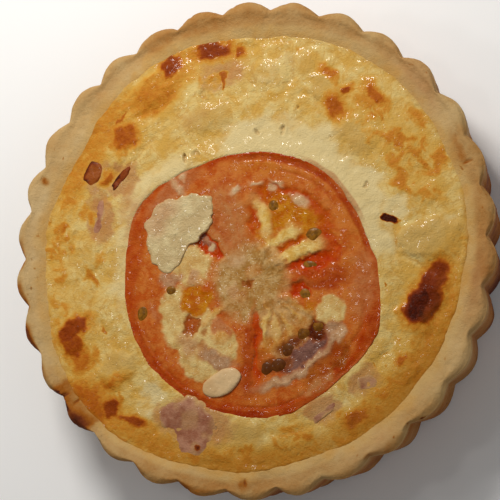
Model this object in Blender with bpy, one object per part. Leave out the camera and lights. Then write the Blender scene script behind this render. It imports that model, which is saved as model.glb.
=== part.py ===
"""A small quiche: a fluted pastry case, baked egg custard, and a tomato slice sunk in its top.

Units are metres and +Z is up. The case rests on z = 0 with its middle on the Z axis. Every piece is one
closed solid, and neighbouring pieces keep a hairline gap.
"""

import math

import bpy
import numpy as np

MM = 0.001
GAP = 0.3 * MM                      # between neighbouring pieces

# Pastry case
RIM_RADIUS = 60 * MM                # to the crest of a flute
CASE_HEIGHT = 24 * MM               # to the top of the rim
FLUTES = 30
FLUTE_DEPTH = 2 * MM
FLUTE_TURN = math.radians(0.3)      # where the first notch lies
SIDE_SLOPE = math.tan(math.radians(8))
FLOOR_THICKNESS = 4 * MM
FOOT_ROUND = 1.4 * MM
MOUTH_RADIUS = 53.2 * MM            # where the custard meets the case
LIP_DROP = 1.6 * MM                 # from the rim's top to the custard's edge
SAMPLES_PER_FLUTE = 6

# Custard
CUSTARD_RISE = 0.35 * MM            # from its edge to the tomato
CUSTARD_SIDES = 96

# Tomato slice
SLICE_CENTRE = (0.6 * MM, -8.6 * MM)
SLICE_RADIUS = 32 * MM
SLICE_THICKNESS = 5.2 * MM
SLICE_TOP = 22.9 * MM
SLICE_SIDES = 96
CHAMBER_DEPTH = 1.5 * MM            # the seed chambers' hollows
SEED_HALF = (1.9 * MM, 1.15 * MM, 0.75 * MM)

# Seed chambers: direction from the slice's middle, half-width of the sector, inner and outer radius
CHAMBERS = (
    (58, 38, 9.0 * MM, 25.5 * MM),
    (15, 12, 8.5 * MM, 16.5 * MM),
    (-15, 12, 7.5 * MM, 15.5 * MM),
    (-53, 31, 14.0 * MM, 24.5 * MM),
    (-84, 6, 8.0 * MM, 14.5 * MM),
    (-134, 30, 9.5 * MM, 24.0 * MM),
    (136, 5, 12.5 * MM, 18.0 * MM),
)

# Seeds that show: direction from the slice's middle, radius, turn of the long side
SEEDS = (
    (75, 19.0 * MM, 20),
    (35, 18.5 * MM, 75),
    (15, 15.0 * MM, 80),
    (-15, 14.0 * MM, 95),
    (-35, 18.5 * MM, 10),
    (-45, 17.5 * MM, 40),
    (-60, 18.5 * MM, 30),
    (-70, 21.0 * MM, 0),
    (-80, 21.0 * MM, 20),
)

# Ham: name, middle, half-length, half-width, turn in degrees, taper of the width along the length
HAM_THICKNESS = 3.4 * MM
HAM_PROUD = 0.45 * MM
HAM_SIDES = 20
HAM_EDGE = 0.55 * MM
HAM_PIECES = (
    ("ham_large", (-14.6 * MM, -43.4 * MM), 8.6 * MM, 4.4 * MM, -14, -0.25),
    ("ham_right", (28.8 * MM, -33.0 * MM), 2.3 * MM, 2.1 * MM, 20, 0.0),
    ("ham_sliver", (18.6 * MM, -39.8 * MM), 3.2 * MM, 1.0 * MM, 28, 0.2),
    ("ham_left", (-38.6 * MM, 9.0 * MM), 4.8 * MM, 1.9 * MM, 84, 0.15),
    ("ham_die", (-40.2 * MM, 20.4 * MM), 2.9 * MM, 2.2 * MM, 68, 0.0),
    ("ham_crisp", (-33.0 * MM, 18.6 * MM), 3.6 * MM, 1.0 * MM, 44, 0.2),
)

# Cheese
FLAKE_CENTRE = (-18 * MM, 5 * MM)
FLAKE_RADIUS = 8 * MM
FLAKE_THICKNESS = 0.8 * MM
FLAKE_SIDES = 36
NUB_CENTRE = (-6.4 * MM, -32.2 * MM)
NUB_HALF = (5.0 * MM, 3.1 * MM, 2.0 * MM)
NUB_TURN = 24

# Soft mounds in the custard: middle, radius, height
MOUNDS = (
    ((43 * MM, 0 * MM), 7.5 * MM, 0.7 * MM),
    ((28 * MM, 24 * MM), 4.5 * MM, 0.5 * MM),
    ((22 * MM, 37 * MM), 5.0 * MM, 0.45 * MM),
    ((4 * MM, 41 * MM), 5.5 * MM, 0.5 * MM),
    ((-33 * MM, -28 * MM), 5.5 * MM, 0.6 * MM),
    ((42 * MM, -15 * MM), 6.0 * MM, 0.6 * MM),
    ((-10 * MM, 36 * MM), 7.0 * MM, 0.35 * MM),
    ((-45 * MM, -19 * MM), 4.5 * MM, 0.4 * MM),
    ((8 * MM, -45 * MM), 6.0 * MM, 0.3 * MM),
)


# Shared shapes ------------------------------------------------------------------------------------

def bell(angle, centre, spread):
    """A smooth swelling of height 1 round one direction; centre and spread are in degrees."""
    away = (angle - math.radians(centre) + math.pi) % (2 * math.pi) - math.pi
    return np.exp(-(away / math.radians(spread)) ** 2)


def around(count, start=0.0):
    """Evenly spaced directions, once round."""
    return start + np.arange(count) * (2 * math.pi / count)


def lobe(angle):
    """1 on the crest of a flute and 0 in its notch."""
    return np.abs(np.sin((angle - FLUTE_TURN) * FLUTES / 2))


def rim_height(angle):
    """The rim's top: a little lower in each notch, and uneven round the case."""
    waver = 0.25 * np.sin(2 * angle + 0.8) + 0.2 * np.sin(5 * angle)
    return CASE_HEIGHT - (0.45 - waver) * MM - 0.5 * MM * (1 - lobe(angle))


def mouth_height(angle):
    """The height of the custard's edge."""
    return CASE_HEIGHT - 0.6 * MM - LIP_DROP + 0.15 * MM * np.sin(3 * angle + 1.0)


def mouth_radius(angle):
    """The custard's edge: it nearly reaches the rim's outside at one corner, and draws in elsewhere."""
    spill = 2.9 * MM * bell(angle, -135, 26)
    thick = 1.3 * MM * bell(angle, 92, 20) + 2.3 * MM * bell(angle, 150, 17)
    return MOUTH_RADIUS + spill - thick


def slice_radius(angle):
    """The tomato's outline, a circle with a bulge and a few flats."""
    bulge = 3.1 * MM * bell(angle, 143, 20) + 1.6 * MM * bell(angle, -25, 14)
    return SLICE_RADIUS + bulge + 0.8 * MM * bell(angle, -75, 18) - 1.3 * MM * bell(angle, 25, 18)


def flake_radius(angle):
    """The cheese flake's outline: a corner at the back right, a tongue to the front, a bay between them."""
    corner = 3.5 * MM * bell(angle, 40, 24)
    tongue = 2.8 * MM * bell(angle, -112, 26)
    bay = 3.0 * MM * bell(angle, -48, 32)
    ragged = 0.3 * MM * np.sin(7 * angle) + 0.2 * MM * np.sin(11 * angle + 1)
    return FLAKE_RADIUS + corner + tongue - bay + ragged


def custard_height(x, y):
    """The custard's top: level, a little higher in the middle, with mounds over what it covers."""
    angle = np.arctan2(y, x)
    share = np.clip(np.hypot(x, y) / mouth_radius(angle), 0, 1)
    height = mouth_height(angle) + CUSTARD_RISE * (1 - share ** 2)
    for (mound_x, mound_y), radius, rise in MOUNDS:
        reach = ((x - mound_x) ** 2 + (y - mound_y) ** 2) / radius ** 2
        height = height + rise * np.exp(-reach ** 2) * (1 - share ** 8)
    return height


def polar_ring(centre, angle, radius, height):
    """Points at a radius round a middle, as an array with a row for each direction."""
    flat = np.broadcast_to(height, angle.shape)
    return np.stack([centre[0] + radius * np.cos(angle), centre[1] + radius * np.sin(angle), flat], axis=1)


def rounded_box(half_length, half_width, taper, count):
    """The outline of a box with well rounded corners, one width tapering along its length."""
    turn = around(count)
    across = np.sign(np.cos(turn)) * np.abs(np.cos(turn)) ** 0.55
    along = np.sign(np.sin(turn)) * np.abs(np.sin(turn)) ** 0.55
    return half_length * across, half_width * along * (1 + taper * across)


# Meshes, materials and Booleans -------------------------------------------------------------------

def srgb(red, green, blue):
    """A colour for a shader from display values between 0 and 255."""
    share = np.array([red, green, blue]) / 255
    linear = np.where(share <= 0.04045, share / 12.92, ((share + 0.055) / 1.055) ** 2.4)
    return (*(float(value) for value in linear), 1.0)


def material(name, colour, roughness):
    made = bpy.data.materials.new(name)
    made.use_nodes = True
    shader = made.node_tree.nodes["Principled BSDF"]
    shader.inputs["Base Color"].default_value = colour
    shader.inputs["Roughness"].default_value = roughness
    shader.inputs["Metallic"].default_value = 0.0
    made.diffuse_color = colour
    return made


def body(name, rings, finish=None):
    """One closed solid from rings of points.

    The rings run from the underside's middle outward, up and over to the middle of the top. A fan
    closes each end at the average of its ring.
    """
    rings = np.asarray(rings)
    ring_count, side_count = rings.shape[:2]
    points = np.concatenate([rings.reshape(-1, 3), [rings[0].mean(axis=0)], [rings[-1].mean(axis=0)]])
    low, high = len(points) - 2, len(points) - 1
    last = (ring_count - 1) * side_count
    faces = []
    for side in range(side_count):
        following = (side + 1) % side_count
        faces.append((low, following, side))
        faces.append((high, last + side, last + following))
        for start in range(0, last, side_count):
            above = start + side_count
            faces.append((start + side, start + following, above + following, above + side))
    mesh = bpy.data.meshes.new(name)
    mesh.from_pydata(points.tolist(), [], faces)
    mesh.shade_smooth()
    mesh.set_sharp_from_angle(angle=math.radians(42))
    if finish:
        mesh.materials.append(finish)
    made = bpy.data.objects.new(name, mesh)
    bpy.context.scene.collection.objects.link(made)
    return made


def combine(target, operation, others):
    """Cuts others out of the target, or joins them to it, with one Boolean, and removes them."""
    group = bpy.data.collections.new(f"{target.name}_{operation.lower()}")
    bpy.context.scene.collection.children.link(group)
    for other in others:
        bpy.context.scene.collection.objects.unlink(other)
        group.objects.link(other)
    boolean = target.modifiers.new("Combine", "BOOLEAN")
    boolean.operation = operation
    boolean.operand_type = "COLLECTION"
    boolean.collection = group
    boolean.solver = "EXACT"
    evaluated = target.evaluated_get(bpy.context.evaluated_depsgraph_get())
    joined = bpy.data.meshes.new_from_object(evaluated)
    target.modifiers.clear()
    target.data = joined
    joined.shade_smooth()
    joined.set_sharp_from_angle(angle=math.radians(42))
    for other in others:
        bpy.data.objects.remove(other)
    bpy.data.collections.remove(group)


# Pieces -------------------------------------------------------------------------------------------

def case_inside(angle, clearance):
    """The rings of the case's inside, from the floor up to the custard's edge.

    The custard's outside is the same rings drawn in by the clearance.
    """
    depths = ((5.5, 0.0), (3.3, 0.8), (2.2, 3.2), (1.2, 9.0))
    rings = []
    for inward, rise in depths:
        radius = mouth_radius(angle) - inward * MM - clearance
        rings.append(polar_ring((0, 0), angle, radius, FLOOR_THICKNESS + rise * MM + clearance))
    return rings


def pastry_case():
    """The fluted case: flat base, sloping fluted side, rounded rim and plain round inside."""
    angle = around(FLUTES * SAMPLES_PER_FLUTE, FLUTE_TURN)
    outside = RIM_RADIUS - FLUTE_DEPTH * (1 - lobe(angle))
    top = rim_height(angle)
    shoulder = top - 1.7 * MM

    def side(height):
        return outside - SIDE_SLOPE * (shoulder - height)

    rings = [
        polar_ring((0, 0), angle, side(0) - FOOT_ROUND, 0),
        polar_ring((0, 0), angle, side(0) - 0.3 * FOOT_ROUND, 0.3 * FOOT_ROUND),
        polar_ring((0, 0), angle, side(FOOT_ROUND), FOOT_ROUND),
        polar_ring((0, 0), angle, side(12 * MM), 12 * MM),
        polar_ring((0, 0), angle, outside, shoulder),
    ]
    mouth = mouth_radius(angle)
    crown = ((0.95, 0.6), (0.78, 0.0), (0.5, 0.1), (0.2, 0.7))
    for share, drop in crown:
        rings.append(polar_ring((0, 0), angle, mouth + share * (outside - mouth), top - drop * MM))
    rings.append(polar_ring((0, 0), angle, mouth, mouth_height(angle)))
    rings.extend(reversed(case_inside(angle, 0.0)))
    return body("pastry_case", rings, material("baked_pastry", srgb(178, 132, 78), 0.72))


def egg_custard(pockets):
    """The filling, level with the case's mouth, with a pocket for each piece that sits in it."""
    angle = around(CUSTARD_SIDES)
    rings = case_inside(angle, GAP)
    edge = mouth_radius(angle) - GAP
    for share in (1.0, 0.975, 0.94, 0.895, 0.845, 0.79, 0.73, 0.665, 0.6, 0.52, 0.43):
        ring = polar_ring((0, 0), angle, share * edge, 0)
        ring[:, 2] = custard_height(ring[:, 0], ring[:, 1])
        rings.append(ring)
    custard = body("egg_custard", rings, material("egg_custard", srgb(196, 153, 76), 0.42))
    combine(custard, "DIFFERENCE", pockets)
    return custard


def slice_pocket():
    """The tomato's hollow in the custard."""
    angle = around(SLICE_SIDES)
    radius = slice_radius(angle) + GAP
    floor = SLICE_TOP - SLICE_THICKNESS - GAP
    heights = (floor, SLICE_TOP + 3 * MM)
    return body("slice_pocket", [polar_ring(SLICE_CENTRE, angle, radius, height) for height in heights])


def chamber(number, direction, half_width, inner, outer):
    """The cutter for one seed chamber, a rounded sector."""
    across, along = rounded_box(math.radians(half_width), (outer - inner) / 2, 0.0, 28)
    angle = math.radians(direction) + across
    radius = (inner + outer) / 2 + along
    heights = (SLICE_TOP + 1 * MM, SLICE_TOP - CHAMBER_DEPTH)
    rings = [polar_ring(SLICE_CENTRE, angle, radius, height) for height in heights]
    return body(f"chamber_{number}", rings)


def seed(number, direction, radius, turn):
    """One tomato seed: a flattened drop, half sunk in the floor of its chamber."""
    around_seed = around(6)
    middle_x = SLICE_CENTRE[0] + radius * math.cos(math.radians(direction))
    middle_y = SLICE_CENTRE[1] + radius * math.sin(math.radians(direction))
    turned = math.radians(turn)
    rings = []
    for share, rise in ((0.55, -0.8), (1.0, 0.0), (0.6, 0.75)):
        long = SEED_HALF[0] * share * np.cos(around_seed)
        wide = SEED_HALF[1] * share * np.sin(around_seed)
        x = middle_x + long * math.cos(turned) - wide * math.sin(turned)
        y = middle_y + long * math.sin(turned) + wide * math.cos(turned)
        height = SLICE_TOP - CHAMBER_DEPTH + 0.25 * MM + rise * SEED_HALF[2]
        rings.append(np.stack([x, y, np.full_like(x, height)], axis=1))
    return body(f"seed_{number}", rings)


def tomato_slice():
    """The slice: a raised skin, flesh a little lower, hollow seed chambers and the seeds in them."""
    angle = around(SLICE_SIDES)
    outline = slice_radius(angle)
    low = SLICE_TOP - SLICE_THICKNESS
    profile = (
        (1.0, low),
        (0.15, low + 0.8 * MM),
        (0.0, SLICE_TOP - 1.3 * MM),
        (0.2, SLICE_TOP - 0.4 * MM),
        (0.9, SLICE_TOP),
        (3.5, SLICE_TOP - 0.3 * MM),
        (24.0, SLICE_TOP - 0.1 * MM),
    )
    rings = [polar_ring(SLICE_CENTRE, angle, outline - inset * MM, height) for inset, height in profile]
    tomato = body("tomato_slice", rings, material("tomato_flesh", srgb(170, 84, 30), 0.3))
    combine(tomato, "DIFFERENCE", [chamber(number, *sizes) for number, sizes in enumerate(CHAMBERS)])
    combine(tomato, "UNION", [seed(number, *sizes) for number, sizes in enumerate(SEEDS)])
    return tomato


def ham_rings(middle, half_length, half_width, turn, taper, grow, edge):
    """The rings of one piece of ham, or of its pocket where grow is more than 0."""
    long, wide = rounded_box(half_length + grow, half_width + grow, taper, HAM_SIDES)
    turned = math.radians(turn)
    shift_x = long * math.cos(turned) - wide * math.sin(turned)
    shift_y = long * math.sin(turned) + wide * math.cos(turned)
    top = float(custard_height(np.array(middle[0]), np.array(middle[1]))) + HAM_PROUD
    low = top - HAM_THICKNESS - grow
    high = top + (3 * MM if grow else 0)
    drawn_in = 1 - edge / half_width
    levels = ((drawn_in, low), (1.0, low + edge), (1.0, high - edge), (drawn_in, high)) if edge else (
        (1.0, low), (1.0, high))
    rings = []
    for share, height in levels:
        x = middle[0] + share * shift_x
        y = middle[1] + share * shift_y
        rings.append(np.stack([x, y, np.full_like(x, height)], axis=1))
    return rings


def ham_piece(name, *sizes):
    finish = bpy.data.materials.get("baked_ham") or material("baked_ham", srgb(158, 110, 78), 0.45)
    return body(name, ham_rings(*sizes, 0.0, HAM_EDGE), finish)


def ham_pocket(name, *sizes):
    return body(f"{name}_pocket", ham_rings(*sizes, GAP, 0.0))


def melted_cheese():
    """A thin flake of melted cheese that lies on the tomato."""
    angle = around(FLAKE_SIDES)
    outline = flake_radius(angle)
    low = SLICE_TOP + GAP
    ripple = 0.12 * MM * np.sin(5 * angle)
    levels = ((0.96, 0.0, 0.0), (1.0, 0.35, 0.0), (0.95, 0.8, 0.4), (0.55, 1.0, 1.0))
    rings = []
    for share, rise, waviness in levels:
        height = low + rise * FLAKE_THICKNESS + waviness * ripple
        rings.append(polar_ring(FLAKE_CENTRE, angle, share * outline, height))
    return body("melted_cheese", rings, material("melted_cheese", srgb(176, 153, 106), 0.4))


def cheese_nub():
    """A smooth rounded lump of cheese at the slice's lower edge."""
    turn = around(20)
    turned = math.radians(NUB_TURN)
    low = SLICE_TOP + GAP
    levels = ((0.8, 0.0), (1.0, 0.3), (0.9, 0.7), (0.6, 0.95))
    rings = []
    for share, rise in levels:
        long = NUB_HALF[0] * share * np.cos(turn)
        wide = NUB_HALF[1] * share * np.sin(turn)
        x = NUB_CENTRE[0] + long * math.cos(turned) - wide * math.sin(turned)
        y = NUB_CENTRE[1] + long * math.sin(turned) + wide * math.cos(turned)
        rings.append(np.stack([x, y, np.full_like(x, low + rise * NUB_HALF[2])], axis=1))
    return body("cheese_nub", rings, material("golden_cheese", srgb(178, 134, 82), 0.4))


def build():
    for item in list(bpy.data.objects):
        bpy.data.objects.remove(item)
    pastry_case()
    egg_custard([slice_pocket()] + [ham_pocket(*sizes) for sizes in HAM_PIECES])
    tomato_slice()
    for sizes in HAM_PIECES:
        ham_piece(*sizes)
    melted_cheese()
    cheese_nub()


build()
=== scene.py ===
# %% [markdown]
# # A small quiche, dressed over its solids
#
# The frame holds the quiche as plain solids: a fluted pastry case, egg custard, a tomato slice, ham and
# cheese. This lesson gives each of them a detailed surface in the same place, and a finish made of nodes.
# Shapes are worked out in millimetres as whole numpy arrays and become metres only when a mesh is made.

import itertools
import math

import bpy
import numpy as np
from mathutils import Matrix, Vector


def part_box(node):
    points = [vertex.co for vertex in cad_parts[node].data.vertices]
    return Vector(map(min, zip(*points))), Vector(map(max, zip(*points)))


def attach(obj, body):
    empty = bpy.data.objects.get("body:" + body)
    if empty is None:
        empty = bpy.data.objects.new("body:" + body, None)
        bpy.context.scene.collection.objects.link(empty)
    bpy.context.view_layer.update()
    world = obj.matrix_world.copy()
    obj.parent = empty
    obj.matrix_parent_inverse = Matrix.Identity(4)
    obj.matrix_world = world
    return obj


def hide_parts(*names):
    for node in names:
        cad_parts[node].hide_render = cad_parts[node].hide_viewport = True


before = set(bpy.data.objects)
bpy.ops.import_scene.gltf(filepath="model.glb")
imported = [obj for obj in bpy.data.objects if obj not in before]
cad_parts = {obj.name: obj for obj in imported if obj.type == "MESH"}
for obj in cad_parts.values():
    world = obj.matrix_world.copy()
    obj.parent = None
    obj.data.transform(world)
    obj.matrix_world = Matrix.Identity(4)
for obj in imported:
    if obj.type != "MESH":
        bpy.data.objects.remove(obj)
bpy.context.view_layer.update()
print("solids:", ", ".join(sorted(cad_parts)))

# %% [markdown]
# ## Sizes taken from the solids
#
# The solids say how big everything is. Reading their boxes here keeps every surface the size of the
# solid it stands for, so nothing has to be fitted afterwards.

# %% Sizes
MM = 0.001


def box_mm(node):
    """A solid's lowest and highest corner, in millimetres."""
    low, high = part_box(node)
    return np.array(low) / MM, np.array(high) / MM


case_low, case_high = box_mm("pastry_case")
slice_low, slice_high = box_mm("tomato_slice")
RIM_RADIUS = (case_high[1] - case_low[1]) / 2
CASE_HEIGHT = case_high[2]
SLICE_TOP = slice_high[2]
SLICE_UNDERSIDE = slice_low[2]

FLUTES = 30
FLUTE_DEPTH = 2.0
FLUTE_TURN = math.radians(0.3)
SIDE_SLOPE = math.tan(math.radians(8))
MOUTH_RADIUS = RIM_RADIUS - 6.8
MOUTH_HEIGHT = CASE_HEIGHT - 1.9
SLICE_MIDDLE = (0.6, -8.6)
SLICE_RADIUS = 32.0
print(f"case {2 * RIM_RADIUS:.1f} mm across and {CASE_HEIGHT:.1f} mm high; slice top at {SLICE_TOP:.1f} mm")

# %% [markdown]
# ## Unevenness
#
# Baked food has no smooth or sharp stretch anywhere. Two tools give that: soft random hills (noise), and
# masks, which are fields between 0 and 1 that say where something is. A mask with its edge shaken by
# noise looks baked, where a plain circle looks drawn.

# %% Noise
LATTICE_SIZE = 32
LATTICE = np.random.default_rng(41).uniform(-1, 1, (LATTICE_SIZE,) * 3)


def noise(place, cell, seed):
    """Smooth random hills between -1 and 1. Random heights sit on the corners of cubes of the cell's
    size; each point blends the eight corners round it, with weights that ease in and out."""
    shift = np.random.default_rng(seed).uniform(0, LATTICE_SIZE, 3)
    spot = [axis / cell + start for axis, start in zip(place, shift)]
    whole = [np.floor(axis).astype(int) for axis in spot]
    part = [axis - base for axis, base in zip(spot, whole)]
    ease = [share * share * (3 - 2 * share) for share in part]
    total = 0.0
    for corner in itertools.product((0, 1), repeat=3):
        weight = math.prod(ease[axis] if corner[axis] else 1 - ease[axis] for axis in range(3))
        cube = tuple((whole[axis] + corner[axis]) % LATTICE_SIZE for axis in range(3))
        total = total + weight * LATTICE[cube]
    return total


def hills(place, cell, seed, octaves):
    """Noise with finer noise on it: each layer is half the size and half the height of the last."""
    return sum(noise(place, cell / 2 ** step, seed + step) / 2 ** step for step in range(octaves))


def flat(x, y):
    """A point on the plane, as a place for noise."""
    return (x, y, 0 * x)


def on_circle(angle, radius):
    """Points of a circle, as places for noise that joins up once round."""
    return flat(radius * np.cos(angle), radius * np.sin(angle))


def rise(low, high, value):
    """0 below low, 1 above high, and a smooth S between them. With high under low it falls instead."""
    share = np.clip((value - low) / (high - low), 0, 1)
    return share * share * (3 - 2 * share)


print(f"noise: {LATTICE.size} random heights, from {LATTICE.min():.2f} to {LATTICE.max():.2f}")

# %% [markdown]
# A mask is drawn by measuring how deep each place lies inside a shape, and easing that depth from 0 to 1.
# A painted picture could hold the same marks. It would blur close up, though, and a mark could not be
# moved by changing a number.

# %% Masks
def away_from(angle, centre):
    """How far directions in radians lie from one in degrees, the short way round, in radians."""
    return (angle - math.radians(centre) + math.pi) % (2 * math.pi) - math.pi


def shaken(x, y, seed, coarse, fine):
    """The same places, each nudged by noise. What is drawn with them gets a ragged, baked outline."""
    def nudge(number):
        """Noise at a coarse and at a fine size, each times its own strength."""
        return coarse * noise(flat(x, y), 2.4, number) + fine * noise(flat(x, y), 0.8, number + 7)

    return x + nudge(seed), y + nudge(seed + 1)


def rotated(x, y, degrees):
    """The same places after a turn about the origin."""
    cosine, sine = math.cos(math.radians(degrees)), math.sin(math.radians(degrees))
    return x * cosine - y * sine, x * sine + y * cosine


SQUARENESS = 2.4


def bent_oval(x, y, direction, distance, length, width, lean=0.0, middle=(0.0, 0.0)):
    """How deep a place lies, in millimetres, inside an oval bent round a middle. Its length runs along the
    ring at its distance and its width outward, and the lean turns both. On its outline the shares of half
    the length and of half the width, each to a power over 2, add up to 1, so it is squarer than an
    ellipse."""
    shift_x, shift_y = x - middle[0], y - middle[1]
    along = away_from(np.arctan2(shift_y, shift_x), direction) * distance
    outward = np.hypot(shift_x, shift_y) - distance
    long_way, wide_way = rotated(along, outward, -lean)
    long_share, wide_share = np.abs(long_way) / (length / 2), np.abs(wide_way) / (width / 2)
    reached = (long_share ** SQUARENESS + wide_share ** SQUARENESS) ** (1 / SQUARENESS)
    return (1 - reached) * min(length, width) / 2


def over(*masks):
    """Masks laid over each other: what is left clear is the product of what each leaves clear."""
    return 1 - math.prod(1 - mask for mask in masks)


# %% [markdown]
# ## Shaders written as sums
#
# A finish is a tree of nodes, but its idea is arithmetic: mix these colours by that mask, add a little
# noise. The tree could be clicked together or built link by link, which hides the sum. The class below
# wraps a socket so that Python's own operators add the Math nodes, and a recipe object adds every other
# node with one method.

# %% Sockets with arithmetic
def srgb(red, green, blue):
    """A colour for a shader from display values between 0 and 255."""
    share = np.array([red, green, blue]) / 255
    linear = np.where(share <= 0.04045, share / 12.92, ((share + 0.055) / 1.055) ** 2.4)
    return (*(float(value) for value in linear), 1.0)


class Wire:
    """A number in a shader. Each operator adds one Math node and gives the wire that leaves it."""

    def __init__(self, recipe, socket):
        self.recipe = recipe
        self.socket = socket

    def math(self, operation, first, second):
        """One Math node on two values, each a wire or a number."""
        return self.recipe.node("Math", {"operation": operation}, {0: first, 1: second})

    def __add__(self, other):
        return self.math("ADD", self, other)

    __radd__ = __add__

    def __sub__(self, other):
        return self.math("SUBTRACT", self, other)

    def __rsub__(self, other):
        return self.math("SUBTRACT", other, self)

    def __mul__(self, other):
        return self.math("MULTIPLY", self, other)

    __rmul__ = __mul__

    def most(self, other):
        """The larger of two wires."""
        return self.math("MAXIMUM", self, other)

    def between(self, low, high):
        """0 below low and 1 above high, eased."""
        settings = {"interpolation_type": "SMOOTHSTEP"}
        return self.recipe.node("MapRange", settings, {"Value": self, "From Min": low, "From Max": high})


# %% [markdown]
# A recipe is one material while it is being made. It adds any node by its type, its settings and its
# sockets, and has short names for the few that this quiche needs again and again: a ramp, a mix, a mask
# from the mesh, grain and beads.


# %% Recipes
class Recipe:
    """A finish in the making: a material, its Principled shader, and the ways to add to it."""

    def __init__(self, name):
        self.material = bpy.data.materials.new(name)
        self.material.use_nodes = True
        self.tree = self.material.node_tree
        self.shader = self.tree.nodes["Principled BSDF"]

    def feed(self, socket, value):
        """Links a wire to a socket, or sets the socket to a value."""
        if isinstance(value, Wire):
            self.tree.links.new(value.socket, socket)
        else:
            socket.default_value = value

    def node(self, kind, settings=None, inputs=None, output=0):
        """Adds a node of a kind. Settings come first, then its sockets, by name or by number."""
        made = self.tree.nodes.new("ShaderNode" + kind)
        for setting, value in (settings or {}).items():
            if setting == "stops":
                self.stops(made.color_ramp, value)
            else:
                setattr(made, setting, value)
        for socket, value in (inputs or {}).items():
            self.feed(made.inputs[socket], value)
        return Wire(self, made.outputs[output])

    def stops(self, ramp, colours):
        """Sets a ramp's colours from pairs of a position and a colour."""
        while len(ramp.elements) < len(colours):
            ramp.elements.new(0.5)
        for element, (position, colour) in zip(ramp.elements, colours):
            element.position = position
            element.color = colour

    def ramp(self, value, colours):
        """A colour read off a row of colours, by a wire that says how far along it is."""
        return self.node("ValToRGB", {"stops": colours}, {"Fac": value})

    def mix(self, share, first, second):
        """A colour between two, or between two wires that carry colours."""
        return self.node("Mix", {"data_type": "RGBA"}, {0: share, 6: first, 7: second}, output=2)

    def away(self, wire, level):
        """How far a wire is from a level, either way."""
        return (wire - level).most(level - wire)

    def channel(self, name):
        """A mask or measure stored on the mesh."""
        return self.node("Attribute", {"attribute_name": name}, output="Fac")

    def grain(self, size, detail=3.0, roughness=0.55, twist=0.0):
        """Noise between 0 and 1 with features of about a size in millimetres. A twist bends it into
        streaks and folds."""
        return self.node("TexNoise", inputs={
            "Vector": self.node("TexCoord", output="Object"),
            "Scale": 1 / (size * MM),
            "Detail": detail,
            "Roughness": roughness,
            "Distortion": twist,
        })

    def beads(self, size=0.42, low=0.54, high=0.64):
        """Tiny beads of fat or juice, where a fine noise peaks."""
        return self.grain(size, 1.0).between(low, high)

    def finish(self, bumps=(), **sockets):
        """Feeds the shader's sockets by name. Bumps are pairs of a height wire and its depth in
        millimetres; each bends the normal that the one before it gives."""
        normal = None
        for height, depth in bumps:
            inputs = {"Height": height, "Distance": depth * MM, "Strength": 1.0}
            if normal:
                inputs["Normal"] = normal
            normal = self.node("Bump", inputs=inputs)
        if normal:
            self.feed(self.shader.inputs["Normal"], normal)
        for name, value in sockets.items():
            self.feed(self.shader.inputs[name.replace("_", " ")], value)
        return self.material


# %% [markdown]
# ## From a grid to a piece
#
# Every piece here is a grid of points wrapped round itself, like a skin pulled over a shape from the
# middle of its underside to the middle of its top. Blender's own balls and discs could be bent into shape
# instead, but on a grid every mask has the same rows and columns as the points it belongs to. One function
# turns such a grid into a closed mesh, stores its masks on it, and hides the solid it stands for.

# %% Directions and rings
def around(count, start=0.0):
    """Evenly spaced directions, once round, in radians."""
    return start + np.arange(count) * (2 * math.pi / count)


def swell(angle, centre, spread):
    """A smooth swelling of height 1 round one direction; centre and spread are in degrees."""
    return np.exp(-(away_from(angle, centre) / math.radians(spread)) ** 2)


def swells(angle, *rows):
    """The sum of several swellings, each told by its centre, its spread and its height."""
    return sum(height * swell(angle, centre, spread) for centre, spread, height in rows)


def ring(angle, radius, height):
    """Points once round the middle."""
    points = np.broadcast_arrays(radius * np.cos(angle), radius * np.sin(angle), height)
    return np.stack(points, axis=1)


def through(rings, steps):
    """A smooth curve through rings of points: between two rings it follows the cubic whose slopes at
    each ring run parallel to the line between that ring's neighbours."""
    rings = np.asarray(rings, float)
    steps = np.asarray(steps, float)
    last = len(rings) - 1
    base = np.clip(np.floor(steps).astype(int), 0, last - 1)
    share = (steps - base).reshape(-1, *([1] * (rings.ndim - 1)))
    before, start = rings[np.maximum(base - 1, 0)], rings[base]
    end, after = rings[base + 1], rings[np.minimum(base + 2, last)]
    bend = 2 * before - 5 * start + 4 * end - after
    twist = 3 * (start - end) + after - before
    return start + 0.5 * share * (end - before + share * (bend + share * twist))


def facing(grid):
    """The outward direction at each point of a wrapped grid: the cross product of the way round and the
    way up, made one unit long."""
    way_round = np.roll(grid, -1, axis=1) - np.roll(grid, 1, axis=1)
    way_up = np.gradient(grid, axis=0)
    normal = np.cross(way_round, way_up)
    return normal / np.maximum(np.linalg.norm(normal, axis=2, keepdims=True), 1e-9)


# %% [markdown]
# The faces of a grid are worked out from row and column numbers alone, so one piece of code closes a rim
# of pastry, a seed or a slab of ham.


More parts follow.
